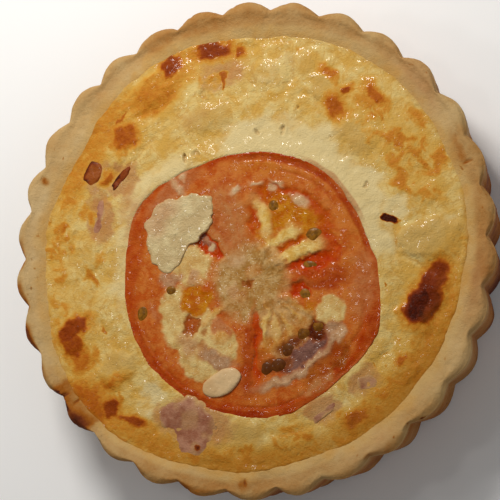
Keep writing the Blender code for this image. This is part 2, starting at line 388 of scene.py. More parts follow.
# %% From grids to a mesh
def piece(name, grids, finish, slot, stands_for=None, **channels):
    """Closed meshes from wrapped grids in millimetres, as one object. Four neighbouring points make a face,
    a fan closes each end of each grid, and the masks are stored. One grid may be given alone."""
    grids = grids if grids.ndim == 4 else grids[None]
    count, rows, columns = grids.shape[:3]
    held = rows * columns + 2

    def with_ends(values):
        """The values, one row per grid, with the means of the first and the last ring added at its end."""
        return np.concatenate([values.reshape(count, rows * columns, -1), values[:, :1].mean(axis=2),
                               values[:, -1:].mean(axis=2)], axis=1)

    row = np.arange(rows - 1)[:, None] * columns
    column = np.arange(columns)[None, :]
    after = (column + 1) % columns
    quads = np.stack([row + column, row + after, row + columns + after, row + columns + column], axis=-1)
    low, high, top = held - 2, held - 1, (rows - 1) * columns
    under = np.stack([np.full(columns, low), after[0], column[0]], axis=1)
    crown = np.stack([np.full(columns, high), top + column[0], top + after[0]], axis=1)
    starts = np.arange(count)[:, None, None] * held
    faces = (quads.reshape(-1, 4) + starts).reshape(-1, 4).tolist()
    faces += (np.concatenate([under, crown]) + starts).reshape(-1, 3).tolist()
    mesh = bpy.data.meshes.new(name)
    mesh.from_pydata((with_ends(grids).reshape(-1, 3) * MM).tolist(), [], faces)
    mesh.shade_smooth()
    for channel, values in channels.items():
        stored = with_ends(np.broadcast_to(values, (count, rows, columns))[..., None]).reshape(-1)
        mesh.attributes.new(channel, "FLOAT", "POINT").data.foreach_set("value", stored.astype(np.float32))
    mesh.materials.append(finish)
    made = bpy.data.objects.new(name, mesh)
    bpy.context.scene.collection.objects.link(made)
    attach(made, "root")
    if stands_for:
        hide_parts(stands_for)
    print(f"{name}: {len(faces) + count * (rows - 1) * columns} triangles")


# %% [markdown]
# ## Camera, floor and light
#
# The quiche is seen from above and a little from the front right, with a long lens. The floor is plain
# and pale. The light is soft: one panel fairly near, over the back left, so the far side is brighter
# than the near one and everything moist picks up small glints. The rest of the room only lifts shadows.

# %% Camera
TILT = math.radians(20)
TOWARDS = math.radians(-27.8)
DISTANCE = 0.5
LENS = 150.6
TARGET = Vector((-0.4 * MM, -0.3 * MM, 20 * MM))

camera = bpy.data.objects.new("camera", bpy.data.cameras.new("camera"))
camera.data.lens = LENS
camera.data.sensor_width = 36
camera.data.clip_start = 0.01
backward = Vector((
    math.sin(TILT) * math.cos(TOWARDS),
    math.sin(TILT) * math.sin(TOWARDS),
    math.cos(TILT),
))
north = Vector((0, 1, 0))
upward = (north - backward * north.dot(backward)).normalized()
sideways = upward.cross(backward)
turned = Matrix((sideways, upward, backward)).transposed().to_4x4()
camera.matrix_world = Matrix.Translation(TARGET + DISTANCE * backward) @ turned
bpy.context.scene.collection.objects.link(camera)
bpy.context.scene.camera = camera
print("camera at", tuple(round(value, 3) for value in camera.matrix_world.translation))


# %% Light
def panel(name, place, size, power, colour):
    """A soft square light that faces the quiche."""
    lamp = bpy.data.lights.new(name, "AREA")
    lamp.size = size
    lamp.energy = power
    lamp.color = colour
    made = bpy.data.objects.new(name, lamp)
    made.location = place
    made.rotation_euler = (Vector((0, 0, 0.02)) - Vector(place)).to_track_quat("-Z", "Y").to_euler()
    bpy.context.scene.collection.objects.link(made)


panel("key", (-0.08, 0.23, 0.28), 0.11, 1.08, (1.0, 0.97, 0.92))
panel("fill", (0.5, -0.1, 0.5), 0.5, 0.5, (0.96, 0.98, 1.0))
panel("overhead", (-0.14, 0.07, 0.5), 0.05, 0.10, (1.0, 0.97, 0.92))
panel("window", (-0.34, 0.02, 0.4), 0.05, 0.14, (1.0, 0.99, 0.97))

world = bpy.data.worlds.new("studio")
world.use_nodes = True
background = world.node_tree.nodes["Background"]
background.inputs["Color"].default_value = (1.0, 0.98, 0.95, 1.0)
background.inputs["Strength"].default_value = 0.17
bpy.context.scene.world = world
bpy.context.scene.view_settings.view_transform = "Standard"

# %% Floor
FLOOR_REACH = 1.5
corners = [(FLOOR_REACH * x, FLOOR_REACH * y, 0) for x, y in ((-1, -1), (1, -1), (1, 1), (-1, 1))]
floor_mesh = bpy.data.meshes.new("floor")
floor_mesh.from_pydata(corners, [], [(0, 1, 2, 3)])
floor_mesh.materials.append(Recipe("floor").finish(Base_Color=(0.9, 0.9, 0.9, 1.0), Roughness=0.9))
floor = bpy.data.objects.new("floor", floor_mesh)
floor.location = (0, 0, -0.2 * MM)
bpy.context.scene.collection.objects.link(floor)
print(f"floor {2 * FLOOR_REACH:.0f} m across")

# %% [markdown]
# ## The pastry case
#
# Shortcrust is pressed into a fluted tin, so its outside copies the tin: thirty rounded flutes with
# sharp notches between them, leaning outward. The rim is what rises above the custard, rounded, uneven
# and a little crumbly. One flute could be modelled and copied thirty times, but the copies would be too
# alike. So the shape is one profile carried round the case, whose radius follows the flutes outside and
# is plainly round inside, and noise makes every flute a little different.

# %% Where the case and the custard meet
def lobe(angle):
    """1 on the crest of a flute and 0 in its notch: the size of a sine, which has round tops."""
    return np.abs(np.sin((angle - FLUTE_TURN) * FLUTES / 2))


def mouth_radius(angle):
    """The custard's edge: it spills towards the rim at one corner, draws in elsewhere, and wavers."""
    spill = swells(angle, (-135, 26, 2.9), (92, 20, -1.3), (150, 17, -2.3))
    waver = 0.22 * np.sin(7 * angle + 1) + 0.16 * np.sin(11 * angle) + 0.12 * np.sin(23 * angle + 2)
    return MOUTH_RADIUS + spill + waver


def rim_height(angle):
    """The rim's top: a little lower in each notch, and uneven round the case."""
    waver = 0.25 * np.sin(2 * angle + 0.8) + 0.2 * np.sin(5 * angle)
    return CASE_HEIGHT - 0.6 + waver - 0.25 * (1 - lobe(angle)) - 0.55 * swell(angle, 140, 50)


def mouth_height(angle):
    """The height at which the custard meets the case: three gentle waves once round."""
    return MOUTH_HEIGHT + 0.15 * np.sin(3 * angle + 1.0)


mouth = mouth_radius(around(360))
print(f"mouth from {mouth.min():.1f} to {mouth.max():.1f} mm out")

# %% [markdown]
# The profile is a list of radius and height from the middle of the base up the side, over the rim and
# down inside. A smooth curve runs through it, with most of its rows where the rim bends.

# %% The case's profile, carried round
CASE_COLUMNS = 900
angle = around(CASE_COLUMNS, FLUTE_TURN)
round_trip = on_circle(angle, 40)
wander = np.radians(0.8) * noise(round_trip, 11, 3)
deep = 1 + 0.3 * noise(round_trip, 9, 4)
outside = RIM_RADIUS - 0.05 - FLUTE_DEPTH * deep * (1 - lobe(angle + wander))
mouth = mouth_radius(angle)
top = rim_height(angle) + 0.25 * noise(round_trip, 7, 5)
shoulder = top - 1.7


def side(height):
    """The outer radius at a height: the flutes keep their depth as the side leans in to the base."""
    return outside - SIDE_SLOPE * (shoulder - height)


def part_way(share, follow):
    """The radius at a share of the way from the custard's edge to the outside, whose flutes it follows
    fully at 1 and not at all at 0."""
    return mouth + share * (follow * outside + (1 - follow) * np.mean(outside) - mouth)


groove = swells(angle, (40, 32, 0.45), (170, 40, 0.25), (100, 30, 0.2))
lip_height = mouth_height(angle)
profile = (
    # radius, height
    (side(0) - 1.6, 0),
    (side(0) - 0.5, 0.25),
    (side(1.4), 1.4),
    (side(8.0), 8.0),
    (side(15.0), 15.0),
    (outside, shoulder),
    (part_way(0.96, 1.0), top - 0.6),
    (part_way(0.8, 0.6), top),
    (part_way(0.55, 0.2), top - 0.2 - groove),
    (part_way(0.25, 0.0), (top + lip_height) / 2 - 0.1),
    (mouth - 0.6, lip_height - 0.15),
    (mouth - 2.2, lip_height - 0.9),
    (mouth - 3.1, lip_height - 2.4),
    (mouth - 3.4, lip_height - 6.0),
    (mouth - 3.7, 8.0),
    (mouth - 5.5, 4.0),
)
steps = np.concatenate([
    np.linspace(0, 2, 7)[:-1],
    np.linspace(2, 5, 30)[:-1],
    np.linspace(5, 11, 66)[:-1],
    np.linspace(11, 15, 9),
])
case = through([ring(angle, radius, height) for radius, height in profile], steps)
print("case grid:", case.shape)

# %% [markdown]
# The rim's relief has three sizes. Broad lumps come from fingers and the oven, small pits and crumbs
# from the dough, and fine cracks run where the crust dried. A bump in the finish could show them, but the
# outline against the floor would stay smooth. So the points themselves are pushed along the surface's own
# direction, which works on the side as well as on top.

# %% Relief of the case
CRACKS = (
    # direction, distance, length round the case, width outward, lean, depth
    (18, 56, 0.9, 4.0, 0, 0.45),
    (-144, 58, 0.9, 4.0, 15, 0.40),
    (-141, 56, 0.8, 4.0, -15, 0.35),
    (-91, 56, 0.8, 3.0, 0, 0.30),
)
outward = facing(case)
place = tuple(case[:, :, axis] for axis in range(3))
above = rise(1.0, 3.0, place[2])
on_rim = rise(20.5, 21.5, place[2])
lumps = 0.26 * hills(place, 6.0, 11, 2) + 0.07 * hills(place, 1.8, 13, 2)
pits = rise(0.5, 0.8, noise(place, 1.2, 19))
relief = above * (lumps + 0.035 * noise(place, 0.75, 17) - 0.12 * pits)
relief = relief * rise(10.2, 8.8, np.broadcast_to(steps[:, None], relief.shape))
crack = np.zeros_like(relief)
for number, (*shape, depth) in enumerate(CRACKS):
    line = rise(0.0, 0.35, bent_oval(*shaken(place[0], place[1], 21 + number, 0.4, 0.2), *shape)) * on_rim
    relief = relief - depth * line
    crack = np.maximum(crack, line)
case = case + relief[:, :, None] * outward
case[:, :, 2] = np.maximum(case[:, :, 2], 0.0)
around_case = np.broadcast_to(angle, case.shape[:2])
along_case = np.broadcast_to(steps[:, None], case.shape[:2])
print(f"relief from {relief.min():.2f} to {relief.max():.2f} mm")

# %% [markdown]
# The crust's colour tells how each part was baked. The far side and the right are tanned, the near
# left corner where custard spilled over is brown, the very edges of some flutes are burnt, and the lip
# beside the custard stays pale. The outer side is darker, partly browned by the tin and partly painted
# shade. One number for each point, its browning with that painted shade, is enough to say all of it.

# %% Browning of the case
TANNED = (
    # direction, spread, strength
    (95, 32, 0.26),
    (62, 16, 0.10),
    (40, 14, 0.14),
    (16, 12, 0.22),
    (-8, 14, 0.36),
    (-42, 18, 0.10),
    (-95, 34, 0.34),
    (145, 14, 0.08),
    (124, 14, 0.14),
)
BURNT_EDGES = (
    (178, 9, 0.35),
    (-170, 8, 0.5),
    (-158, 8, 0.6),
    (-139, 7, 0.3),
    (-120, 5, 0.3),
    (-104, 5, 0.25),
    (-60, 8, 0.3),
)
BROWN_SPOTS = (
    # direction, distance, length round the case, width outward, lean, strength
    (-140, 56, 15, 11, 0, 0.46),
    (-137, 59, 9, 3, 0, 0.12),
    (160, 56, 2, 2, 0, 0.60),
    (167, 59, 2, 2, 0, 0.55),
    (-91, 56, 3, 4, 0, 0.25),
    (-149, 57, 6, 3, 0, 0.12),
    (22, 54, 9, 4, 0, 0.25),
)
outer = rise(7.6, 6.6, along_case) * rise(5.0, 5.6, along_case)
lip = rise(8.4, 9.4, along_case)
toast = 0.13 + 0.12 * hills(place, 10.0, 23, 3) + 0.06 * hills(place, 3.0, 25, 2)
toast = toast + swells(around_case, *TANNED) * (1 - 0.75 * lip)
toast = toast + swells(around_case, *BURNT_EDGES) * rise(-0.6, 0.3, noise(place, 3.5, 31)) * outer
for number, (*shape, strength) in enumerate(BROWN_SPOTS):
    spot = rise(-0.6, 0.9, bent_oval(*shaken(place[0], place[1], 33 + number, 0.7, 0.3), *shape))
    toast = toast + strength * spot * on_rim
# the outer side is darker: partly browning against the tin, partly painted shade
below = rise(5.2, 4.0, along_case)
toast = toast + 0.34 * below + 0.10 * rise(3.0, 0.5, place[2]) + 0.3 * crack
specks = rise(0.74, 0.86, noise(place, 0.8, 43)) * rise(0.0, 0.5, noise(place, 7.0, 47))
toast = np.clip(toast + 0.5 * specks, 0, 1)
egged = rise(8.2, 9.9, along_case + 0.5 * noise(place, 2.2, 51) + 0.3 * noise(place, 6.0, 53)) * above
rosy = rise(-0.1, 0.7, noise(place, 12.0, 49)) * over(
    swell(around_case, 30, 30), swell(around_case, -5, 20), 0.8 * swell(around_case, -40, 25),
    0.5 * swell(around_case, 150, 25))
print(f"browning of the case: mean {toast.mean():.2f}, most {toast.max():.2f}")

# %% [markdown]
# Baked dough is dry and mealy, with no border between its shades. Several materials side by side would
# show such borders, so the finish is one ramp from pale to burnt, read with the browning. Grain at two
# sizes breaks it up, and a tint of egg shows where custard ran on to the rim.


# %% Finish of the case
def pastry_finish():
    """Dry baked dough: a ramp from pale to burnt, mealy at two sizes, and no gloss but a trace of fat."""
    recipe = Recipe("baked_pastry")
    mealy = recipe.grain(0.7, 4.0, 0.7)
    patchy = recipe.grain(4.0, 4.0, 0.6)
    shade = recipe.channel("toast") + 0.2 * (mealy - 0.5) + 0.3 * (patchy - 0.5)
    colour = recipe.ramp(shade, (
        (0.00, srgb(196, 168, 120)),
        (0.22, srgb(184, 150, 98)),
        (0.45, srgb(168, 122, 66)),
        (0.66, srgb(152, 88, 16)),
        (0.84, srgb(108, 46, 6)),
        (1.00, srgb(60, 20, 3)),
    ))
    colour = recipe.mix(recipe.channel("rosy") * 0.45, colour, srgb(176, 126, 82))
    egg = recipe.mix(patchy.between(0.35, 0.65), srgb(192, 142, 66), srgb(196, 160, 98))
    unbaked = (1 - recipe.channel("toast")).between(0.3, 0.6)
    colour = recipe.mix(recipe.channel("egged") * unbaked * 0.7, colour, egg)
    colour = recipe.mix(recipe.channel("crack") * 0.5, colour, srgb(150, 84, 24))
    return recipe.finish(
        bumps=((patchy, 0.14), (mealy, 0.22), (recipe.grain(0.3, 2.0), 0.08)),
        Base_Color=colour,
        Roughness=0.55 + 0.25 * mealy,
        Specular_IOR_Level=0.12,
    )


piece("crust", case, pastry_finish(), "baked_pastry", "pastry_case", toast=toast, rosy=rosy, crack=crack,
      egged=egged)

# %% [markdown]
# ## The custard
#
# Egg custard sets smooth, then blisters and browns where it puffs towards the heat. It could be sculpted,
# but here its top is a height over the plane, because heights add up: each lump, fold and pit is one more
# term, and none of them can tear the surface. It is nearly level, with lumps over what it covers, folds
# where it moved while it set, and a low swell where it climbs to the tomato's cut face.

# %% The slice's outline, which the custard follows
def slice_radius(angle):
    """The tomato's outline: a circle with three bulges and a flat."""
    return SLICE_RADIUS + swells(angle, (143, 20, 3.1), (-25, 14, 1.6), (-75, 18, 0.8), (25, 18, -1.3))


def depth_in_slice(x, y):
    """Distance inside the tomato's outline, negative outside it."""
    shift_x, shift_y = x - SLICE_MIDDLE[0], y - SLICE_MIDDLE[1]
    return slice_radius(np.arctan2(shift_y, shift_x)) - np.hypot(shift_x, shift_y)


outline = slice_radius(around(360))
print(f"slice outline from {outline.min():.1f} to {outline.max():.1f} mm out")

# %% [markdown]
# Pieces of onion, fat and ham lie under the skin and lift it. Some show through, waxy and clear, and
# others are only felt as a swelling. Each is an oval bent with the ring of custard.

# %% Lumps under the custard's skin
LUMPS = (
    # direction, distance, length round the quiche, width outward, lean, height, clearness:
    # onion and fat show through as clear, waxy shapes
    (84, 42, 9, 7, 0, 0.35, 0.45),
    (44, 37, 10, 7, 0, 0.45, 0.85),
    (62, 42, 9, 7, 10, 0.35, 0.85),
    (0, 44, 9, 17, 0, 0.60, 0.90),
    (-91, 45, 9, 7, 0, 0.30, 0.80),
    (-140, 43, 8, 9, 0, 0.50, 0.85),
    (108, 34, 12, 6, 10, 0.25, 0.70),
    (73, 46, 6, 6, 0, 0.30, 0.35),
    (14, 44, 5, 9, 20, 0.30, 0.30),
    (180, 41, 9, 5, 0, 0.35, 0.20),
    (-157, 49, 9, 9, 0, 0.35, 0.00),
    (-20, 45, 16, 8, 20, 0.50, 0.00),
    (119, 48, 14, 8, 0, 0.30, 0.00),
    (31, 42, 22, 9, 0, 0.30, 0.00),
    (-76, 47, 12, 6, 0, 0.30, 0.10),
)
print(len(LUMPS), "lumps, the tallest", max(row[-2] for row in LUMPS), "mm")

# %% [markdown]
# Some things hug the tomato: fat that gathered against its far side, and a pink film that its juice left.
# They could be bands of one width, but they wet the custard unevenly, so each is told by its direction and
# by how far out from the slice it reaches.

# %% Fat and juice beside the slice
FAT_BY_SLICE = (
    # direction from the slice's middle, spread, how far out it reaches, strength
    (84, 18, 7.0, 1.0),
    (54, 20, 7.0, 1.0),
    (28, 18, 6.0, 0.9),
    (132, 18, 5.0, 0.7),
    (172, 20, 3.5, 0.6),
)
JUICE_BY_SLICE = (
    # the same columns
    (46, 20, 0.7, 0.8),
    (-62, 12, 2.0, 0.5),
    (150, 14, 1.2, 0.4),
)
print(len(FAT_BY_SLICE), "places with fat and", len(JUICE_BY_SLICE), "with juice")

# %% [markdown]
# Farther out the custard is pale where fat set in it, pinkish near the ham, and golden where it rose
# towards the heat. These areas overlap and have soft borders, so they are soft ovals laid over each other.

# %% Pale, pinkish and golden areas
CREAMY = (
    # direction, distance, length, width, lean, strength, width of its soft edge
    (12, 37, 6, 8, 0, 0.9, 2.4),
    (-125, 42, 8, 5, 0, 0.8, 1.6),
    (-124, 47, 6, 5, 0, 0.6, 1.6),
    (4, 49, 5, 7, 0, 0.5, 1.6),
    (84, 42, 7, 6, 0, 0.45, 2.0),
    (-27, 49, 5, 3, 0, 0.7, 1.6),
    (-62, 44, 15, 4, 0, 0.5, 2.0),
    (77, 47, 10, 4, 0, 0.4, 2.4),
    (79, 32, 17, 5, 0, 0.35, 3.0),
)
PINKISH = (
    # the same columns
    (99, 44, 13, 8, 0, 0.8, 2.0),
    (160, 33, 9, 6, 0, 0.5, 2.2),
    (113, 35, 9, 6, 0, 0.35, 2.5),
)
GOLDEN = (
    # the same columns
    (147, 49, 32, 8, 0, 0.9, 2.6),
    (120, 47, 15, 8, 0, 1.0, 2.2),
    (90, 50, 10, 3, 0, 0.8, 1.4),
    (76, 50, 7, 2, 0, 0.7, 1.4),
    (84, 36, 5, 4, 0, 0.35, 2.0),
    (29, 45, 28, 14, 0, 0.9, 3.0),
    (52, 42, 18, 10, 0, 0.55, 3.0),
    (-3, 51, 10, 5, 0, 0.6, 1.8),
    (-32, 48, 34, 11, 0, 1.0, 3.0),
    (-24, 38, 10, 4, 0, 0.5, 2.4),
    (-52, 50, 20, 8, 0, 0.8, 3.0),
    (-122, 52, 30, 6, 0, 0.95, 2.2),
    (180, 50, 30, 8, 0, 0.75, 3.0),
    (-156, 48, 18, 14, 0, 0.6, 2.5),
    (-90, 51, 50, 6, 0, 1.0, 2.6),
    (-77, 47, 13, 8, 0, 0.7, 2.4),
    (-140, 52, 12, 9, 0, 0.45, 3.0),
    (68, 38, 8, 6, 0, 0.3, 2.6),
)
print(len(CREAMY), "creamy areas,", len(PINKISH), "pinkish and", len(GOLDEN), "golden")

# %% [markdown]
# Browning starts as a broad orange haze and ends as a small dark blister with a sharper edge. Each stain
# has a level of browning, and where stains overlap the browner one wins, as it does in an oven. Small
# blisters come in fields and are drawn at random from a fixed seed, because one is much like another.

# %% Stains
STAINS = (
    # direction, distance, length, width, lean, level (0.4 orange, 0.6 brown, 0.8 dark, 1 burnt), soft edge
    (120, 47, 15, 5, 0, 0.28, 2.6),
    (146, 49, 24, 6, 0, 0.28, 3.2),
    (180, 50, 19, 4, 0, 0.16, 3.2),
    (-30, 50, 28, 5, 0, 0.28, 3.6),
    (-53, 50, 20, 5, 0, 0.22, 3.4),
    (-125, 52, 26, 4, 0, 0.27, 3.0),
    (-141, 51, 8, 6, 0, 0.20, 3.0),
    (-90, 51, 27, 4, 0, 0.24, 2.8),
    # the dark blister at the right: a narrow end that runs into a broad one, darkest in the middle
    (-13, 46, 11, 6, 12, 0.76, 1.6),
    (-20, 45, 11, 8, 12, 0.84, 1.4),
    (-21, 44, 9, 6, 0, 0.98, 2.6),
    # at the left, brown with a golden foot
    (-158, 48, 5, 9, -20, 0.66, 1.2),
    (-154, 50, 6, 5, 20, 0.60, 1.2),
    (-150, 50, 7, 5, 0, 0.42, 1.2),
    (138, 43, 7, 6, 10, 0.52, 2.0),
    (113, 50, 6, 5, 0, 0.68, 1.6),
    (101, 50, 9, 4, 8, 0.72, 1.6),
    (122, 45, 10, 6, 0, 0.34, 2.4),
    (56, 39, 6, 4, 20, 0.50, 1.4),
    (48, 47, 6, 3, 10, 0.50, 1.2),
    (64, 46, 5, 1.6, 25, 0.42, 0.6),
    (56, 44, 2.4, 3, 20, 0.62, 0.6),
    # a crisp fleck: past 1 there is no haze round it
    (8, 35, 2, 4, 20, 1.10, 0.4),
    # where the custard spilled on to the rim, and the branching streak beside it
    (-138, 55, 13, 8, 0, 0.46, 2.6),
    (-133, 51, 5, 4, 20, 0.68, 1.2),
    (-126, 50, 8, 2.4, -10, 0.66, 1.2),
    (-138, 47, 2, 6, 20, 0.45, 1.6),
    (-58, 49, 6, 3, 0, 0.60, 1.4),
    (-37, 47, 3, 2, 0, 0.50, 0.8),
    (93, 48, 3, 2, 0, 0.55, 0.6),
    (153, 41, 3, 2, 0, 0.50, 0.6),
)
print(len(STAINS), "browned places, the darkest at level", max(row[-2] for row in STAINS))

# %% Blisters
BLISTERS = (
    # direction, spread, nearest, farthest, how many
    (34, 20, 39, 51, 12),
    (178, 24, 38, 52, 16),
    (115, 20, 42, 48, 6),
    (-70, 30, 44, 50, 7),
    (-138, 12, 42, 50, 5),
)


def blister(direction, spread, nearest, farthest):
    """One blister of a field: its direction, distance, length, width, lean and level of browning."""
    return (
        draw.normal(direction, spread / 2),
        draw.uniform(nearest, farthest),
        draw.uniform(2.0, 4.4),
        draw.uniform(1.2, 3.0),
        draw.uniform(-60, 60),
        draw.uniform(0.24, 0.42),
    )


draw = np.random.default_rng(97)
blisters = [blister(*field) for *field, count in BLISTERS for _ in range(count)]
print(len(blisters), "blisters in", len(BLISTERS), "fields")

# %% [markdown]
# The skin wrinkles where the custard moved while it set, and steam leaves pits. A fold is a long thin
# oval pressed in, or raised where its depth is under 0, and some folds browned along their length.

# %% Folds and pits
FOLDS = (
    # direction, distance, length, width, lean, level of browning, depth
    (99, 42, 1.8, 6, 20, 0.60, 0.25),
    (134, 47, 6, 1.2, 0, 0.60, 0.25),
    (126, 43, 5, 0.8, 10, 0.42, 0.25),
    (44, 43, 7, 1.0, 0, 0.12, 0.25),
    (66, 39, 6, 0.8, 0, 0.10, 0.25),
    (0, 36, 6, 1.0, 0, 0.20, 0.35),
    (-8, 42, 1.0, 9, 20, 0.20, 0.35),
    (-39, 42, 5, 0.8, 0, 0.45, 0.35),
    (-44, 42, 0.8, 2, 0, 0.70, 0.30),
    (-18, 35, 2, 0.7, 0, 0.60, 0.25),
    (-28, 39, 11, 1.2, 0, 0.00, 0.20),
    (-116, 45, 1.0, 11, 20, 0.15, 0.30),
    (-135, 44, 9, 1.0, 0, 0.05, 0.25),
    (-153, 41, 5, 1.4, 0, 0.52, 0.30),
    (147, 40, 16, 1.2, 0, 0.00, 0.35),
    (135, 40, 14, 1.4, 0, 0.00, -0.25),
    (137, 37, 9, 1.0, 0, 0.15, 0.30),
    (88, 42, 1.0, 8, 0, 0.10, 0.30),
    (76, 44, 1.2, 8, 0, 0.12, 0.30),
    (34, 41, 10, 1.2, 0, 0.10, 0.20),
    (21, 43, 1.2, 9, 10, 0.15, 0.20),
    (180, 46, 9, 1.2, 15, 0.00, 0.20),
    (-164, 42, 7, 1.0, 30, 0.20, 0.30),
    (-76, 45, 10, 1.0, 0, 0.15, 0.25),
    (-28, 49, 12, 1.2, 0, 0.15, 0.20),
)
PITS = (
    # direction, distance, width, depth
    (126, 27, 1.7, 0.90),
    (119, 27, 1.6, 0.35),
    (107, 40, 2.2, 0.25),
    (86, 28, 1.4, 0.50),
    (74, 29, 1.4, 0.45),
    (-100, 44, 1.1, 0.50),
    (70, 36, 1.1, 0.40),
    (39, 48, 0.9, 0.30),
    (51, 33, 0.9, 0.40),
    (25, 32, 0.8, 0.40),
)

HAM_NODES = sorted(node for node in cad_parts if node.startswith("ham_"))
print(len(FOLDS), "folds,", len(PITS), "pits and", len(HAM_NODES), "pieces of ham")

# %% [markdown]
# The grid runs from just under the rim inward to where the tomato hides the custard. Its rows are close
# together in the open and far apart under the slice, where nobody sees them.


# %% Height and grid of the custard
def custard_height(x, y):
    """The custard's top before its fine relief: the mouth's height, a slight crown, soft waves, and a
    swell up to the level of the tomato's cut face."""
    direction = np.arctan2(y, x)
    share = np.clip(np.hypot(x, y) / mouth_radius(direction), 0, 1)
    waves = 0.28 * noise(flat(x, y), 8.0, 51) + 0.12 * noise(flat(x, y), 3.2, 52)
    climb = rise(5.5, 0.4, -depth_in_slice(x, y))
    return mouth_height(direction) + 0.35 * (1 - share ** 2) + waves * (1 - 0.7 * climb) + 0.48 * climb


CUSTARD_COLUMNS = 880
angle = around(CUSTARD_COLUMNS)
shares = np.concatenate([np.linspace(1.0, 0.42, 98), np.linspace(0.38, 0.06, 4)])
mouth = mouth_radius(angle)
rim_reach = mouth + 0.4 + 0.3 * noise(on_circle(angle, 30), 2.6, 70)
reach = shares[:, None] * rim_reach
x, y = reach * np.cos(angle), reach * np.sin(angle)
edge_gap = np.maximum(mouth - reach, 0)
over_edge = rim_reach - reach
inside_slice = depth_in_slice(x, y)
spot = flat(x, y)
near_x, near_y = shaken(x, y, 71, 1.1, 0.5)
spot_x, spot_y = shaken(x, y, 73, 1.3, 0.6)
soft_x, soft_y = shaken(x, y, 79, 1.8, 0.8)
from_slice = np.arctan2(y - SLICE_MIDDLE[1], x - SLICE_MIDDLE[0])
print("custard grid:", x.shape)

# %% [markdown]
# The tables now become masks on the grid. Three versions of each place, shaken more or less, give the
# areas ragged borders: a little for burns, more for blisters, most for the golden clouds.

# %% Browning and folds
toast = np.zeros_like(x)
for *shape, level, edge in STAINS:
    depth = bent_oval(near_x, near_y, *shape)
    halo = min(level, 0.32) * rise(-1.0 - 1.2 * edge, 0.3 * edge, depth) * (level < 1)
    toast = np.maximum(toast, np.maximum(level * rise(-edge / 2, edge / 2, depth), halo))
for *shape, level in blisters:
    toast = np.maximum(toast, level * rise(-1.3, 1.0, bent_oval(spot_x, spot_y, *shape)))
fold, seam = np.zeros_like(x), np.zeros_like(x)
for *shape, level, depth in FOLDS:
    inside = bent_oval(near_x, near_y, *shape)
    line = rise(0.0, 0.4, inside)
    toast = np.maximum(toast, 0.85 * level * line)
    fold = fold + 0.7 * depth * rise(-0.9, 0.4, inside)
    # painted shade along each fold that is pressed in
    seam = np.maximum(seam, 0.7 * line * rise(0.0, 0.4, depth))
print(f"browned share of the custard: {np.mean(toast > 0.4):.3f}")

# %% [markdown]
# The other masks are kept apart, one for each thing that the finish colours by itself: gold, cream, pink,
# clear lumps, painted shade in folds and pits, and the browned line where custard meets the hot crust.


# %% Colours, ham, lumps and rim
def laid_over(rows, places_x, places_y):
    """The masks of bent ovals, laid over each other. Each row ends in its strength and its soft edge."""
    return over(*(
        strength * rise(-0.9 * edge, 0.9 * edge, bent_oval(places_x, places_y, *shape))
        for *shape, strength, edge in rows))


def middle_and_size(node):
    """The middle of a solid's box and its size each way, in millimetres."""
    low, high = box_mm(node)
    return (low + high) / 2, high - low


def hugging(rows, seed):
    """Masks that start at the tomato's edge, reach unevenly out, and fade to both sides."""
    uneven = 0.4 * noise(spot, 6.0, seed) + 0.25 * noise(spot, 2.4, seed + 1)
    return over(*(
        strength * np.clip(1.5 * swell(from_slice, direction, spread), 0, 1)
        * rise(1.5, 0.5, uneven - inside_slice / width)
        for direction, spread, width, strength in rows))


golden = laid_over(GOLDEN, soft_x, soft_y)
cream = over(laid_over(CREAMY, soft_x, soft_y), hugging(FAT_BY_SLICE, 121))
pink = over(laid_over(PINKISH, spot_x, spot_y), hugging(JUICE_BY_SLICE, 123))
for node in HAM_NODES:
    middle, size = middle_and_size(node)
    reach_x, reach_y = size[0] / 2 + 1.5, size[1] / 2 + 1.5
    share = np.hypot((spot_x - middle[0]) / reach_x, (spot_y - middle[1]) / reach_y)
    pink = over(pink, 0.8 * rise(1.3, 0.8, share))
clear, lumped = np.zeros_like(x), np.zeros_like(x)
for *shape, lift, clearness in LUMPS:
    depth = bent_oval(near_x, near_y, *shape)
    lumped = lumped + lift * rise(-1.0, 1.6, depth)
    clear = np.maximum(clear, clearness * rise(-0.7, 0.9, depth))
browned_edge = np.clip(swells(
    angle, (-38, 28, 1), (-88, 38, 1), (-140, 20, 0.6), (0, 14, 0.5), (45, 25, 0.35), (150, 30, 0.35)), 0, 1)
broad_edge = np.clip(swells(angle, (-45, 26, 1), (-95, 26, 0.9)), 0, 1)
contact = np.maximum(
    (0.12 + 0.88 * browned_edge) * rise(1.7, 0.2, edge_gap + 0.5 * noise(spot, 1.6, 75)),
    0.85 * broad_edge * rise(9.0, 0.5, edge_gap + 1.5 * noise(spot, 4.0, 77)))
print(f"golden share of the custard: {np.mean(golden > 0.4):.2f}, creamy {np.mean(cream > 0.4):.2f}")

# %% [markdown]
# The height is put together from broad to fine: lumps, a slight flow round the slice, small hills, cream
# that stands up, crusts on the burns. Folds and pits are then pressed in, and the edges are bent down to
# the rim and under the slice, so no gap shows.

# %% The custard's surface
height = custard_height(x, y)
# ripples that run round the slice at the back left
flow = np.sin(-inside_slice * 2 * math.pi / 2.1 + 1.6 * noise(spot, 5.0, 81))
in_flow = swell(from_slice, 135, 34) * rise(0.8, 2.5, -inside_slice)
broken = rise(-0.3, 0.5, noise(spot, 4.0, 83))
height = height + 0.07 * flow * in_flow * broken
# lumps, small hills that fade where a lump is clear, cream, and crusts that sink where they are darkest
height = height + lumped * (1 + 0.2 * noise(spot, 2.0, 85)) * rise(0.2, 2.5, edge_gap)
height = height + 0.09 * hills(spot, 1.7, 87, 2) * (1 - 0.6 * clear)
height = height + 0.16 * cream * noise(spot, 2.8, 95) * rise(-0.3, -1.5, inside_slice)
height = height + 0.07 * rise(0.3, 0.6, toast) * (1 + noise(spot, 1.2, 89)) - 0.12 * rise(0.7, 0.9, toast)
height = height - fold
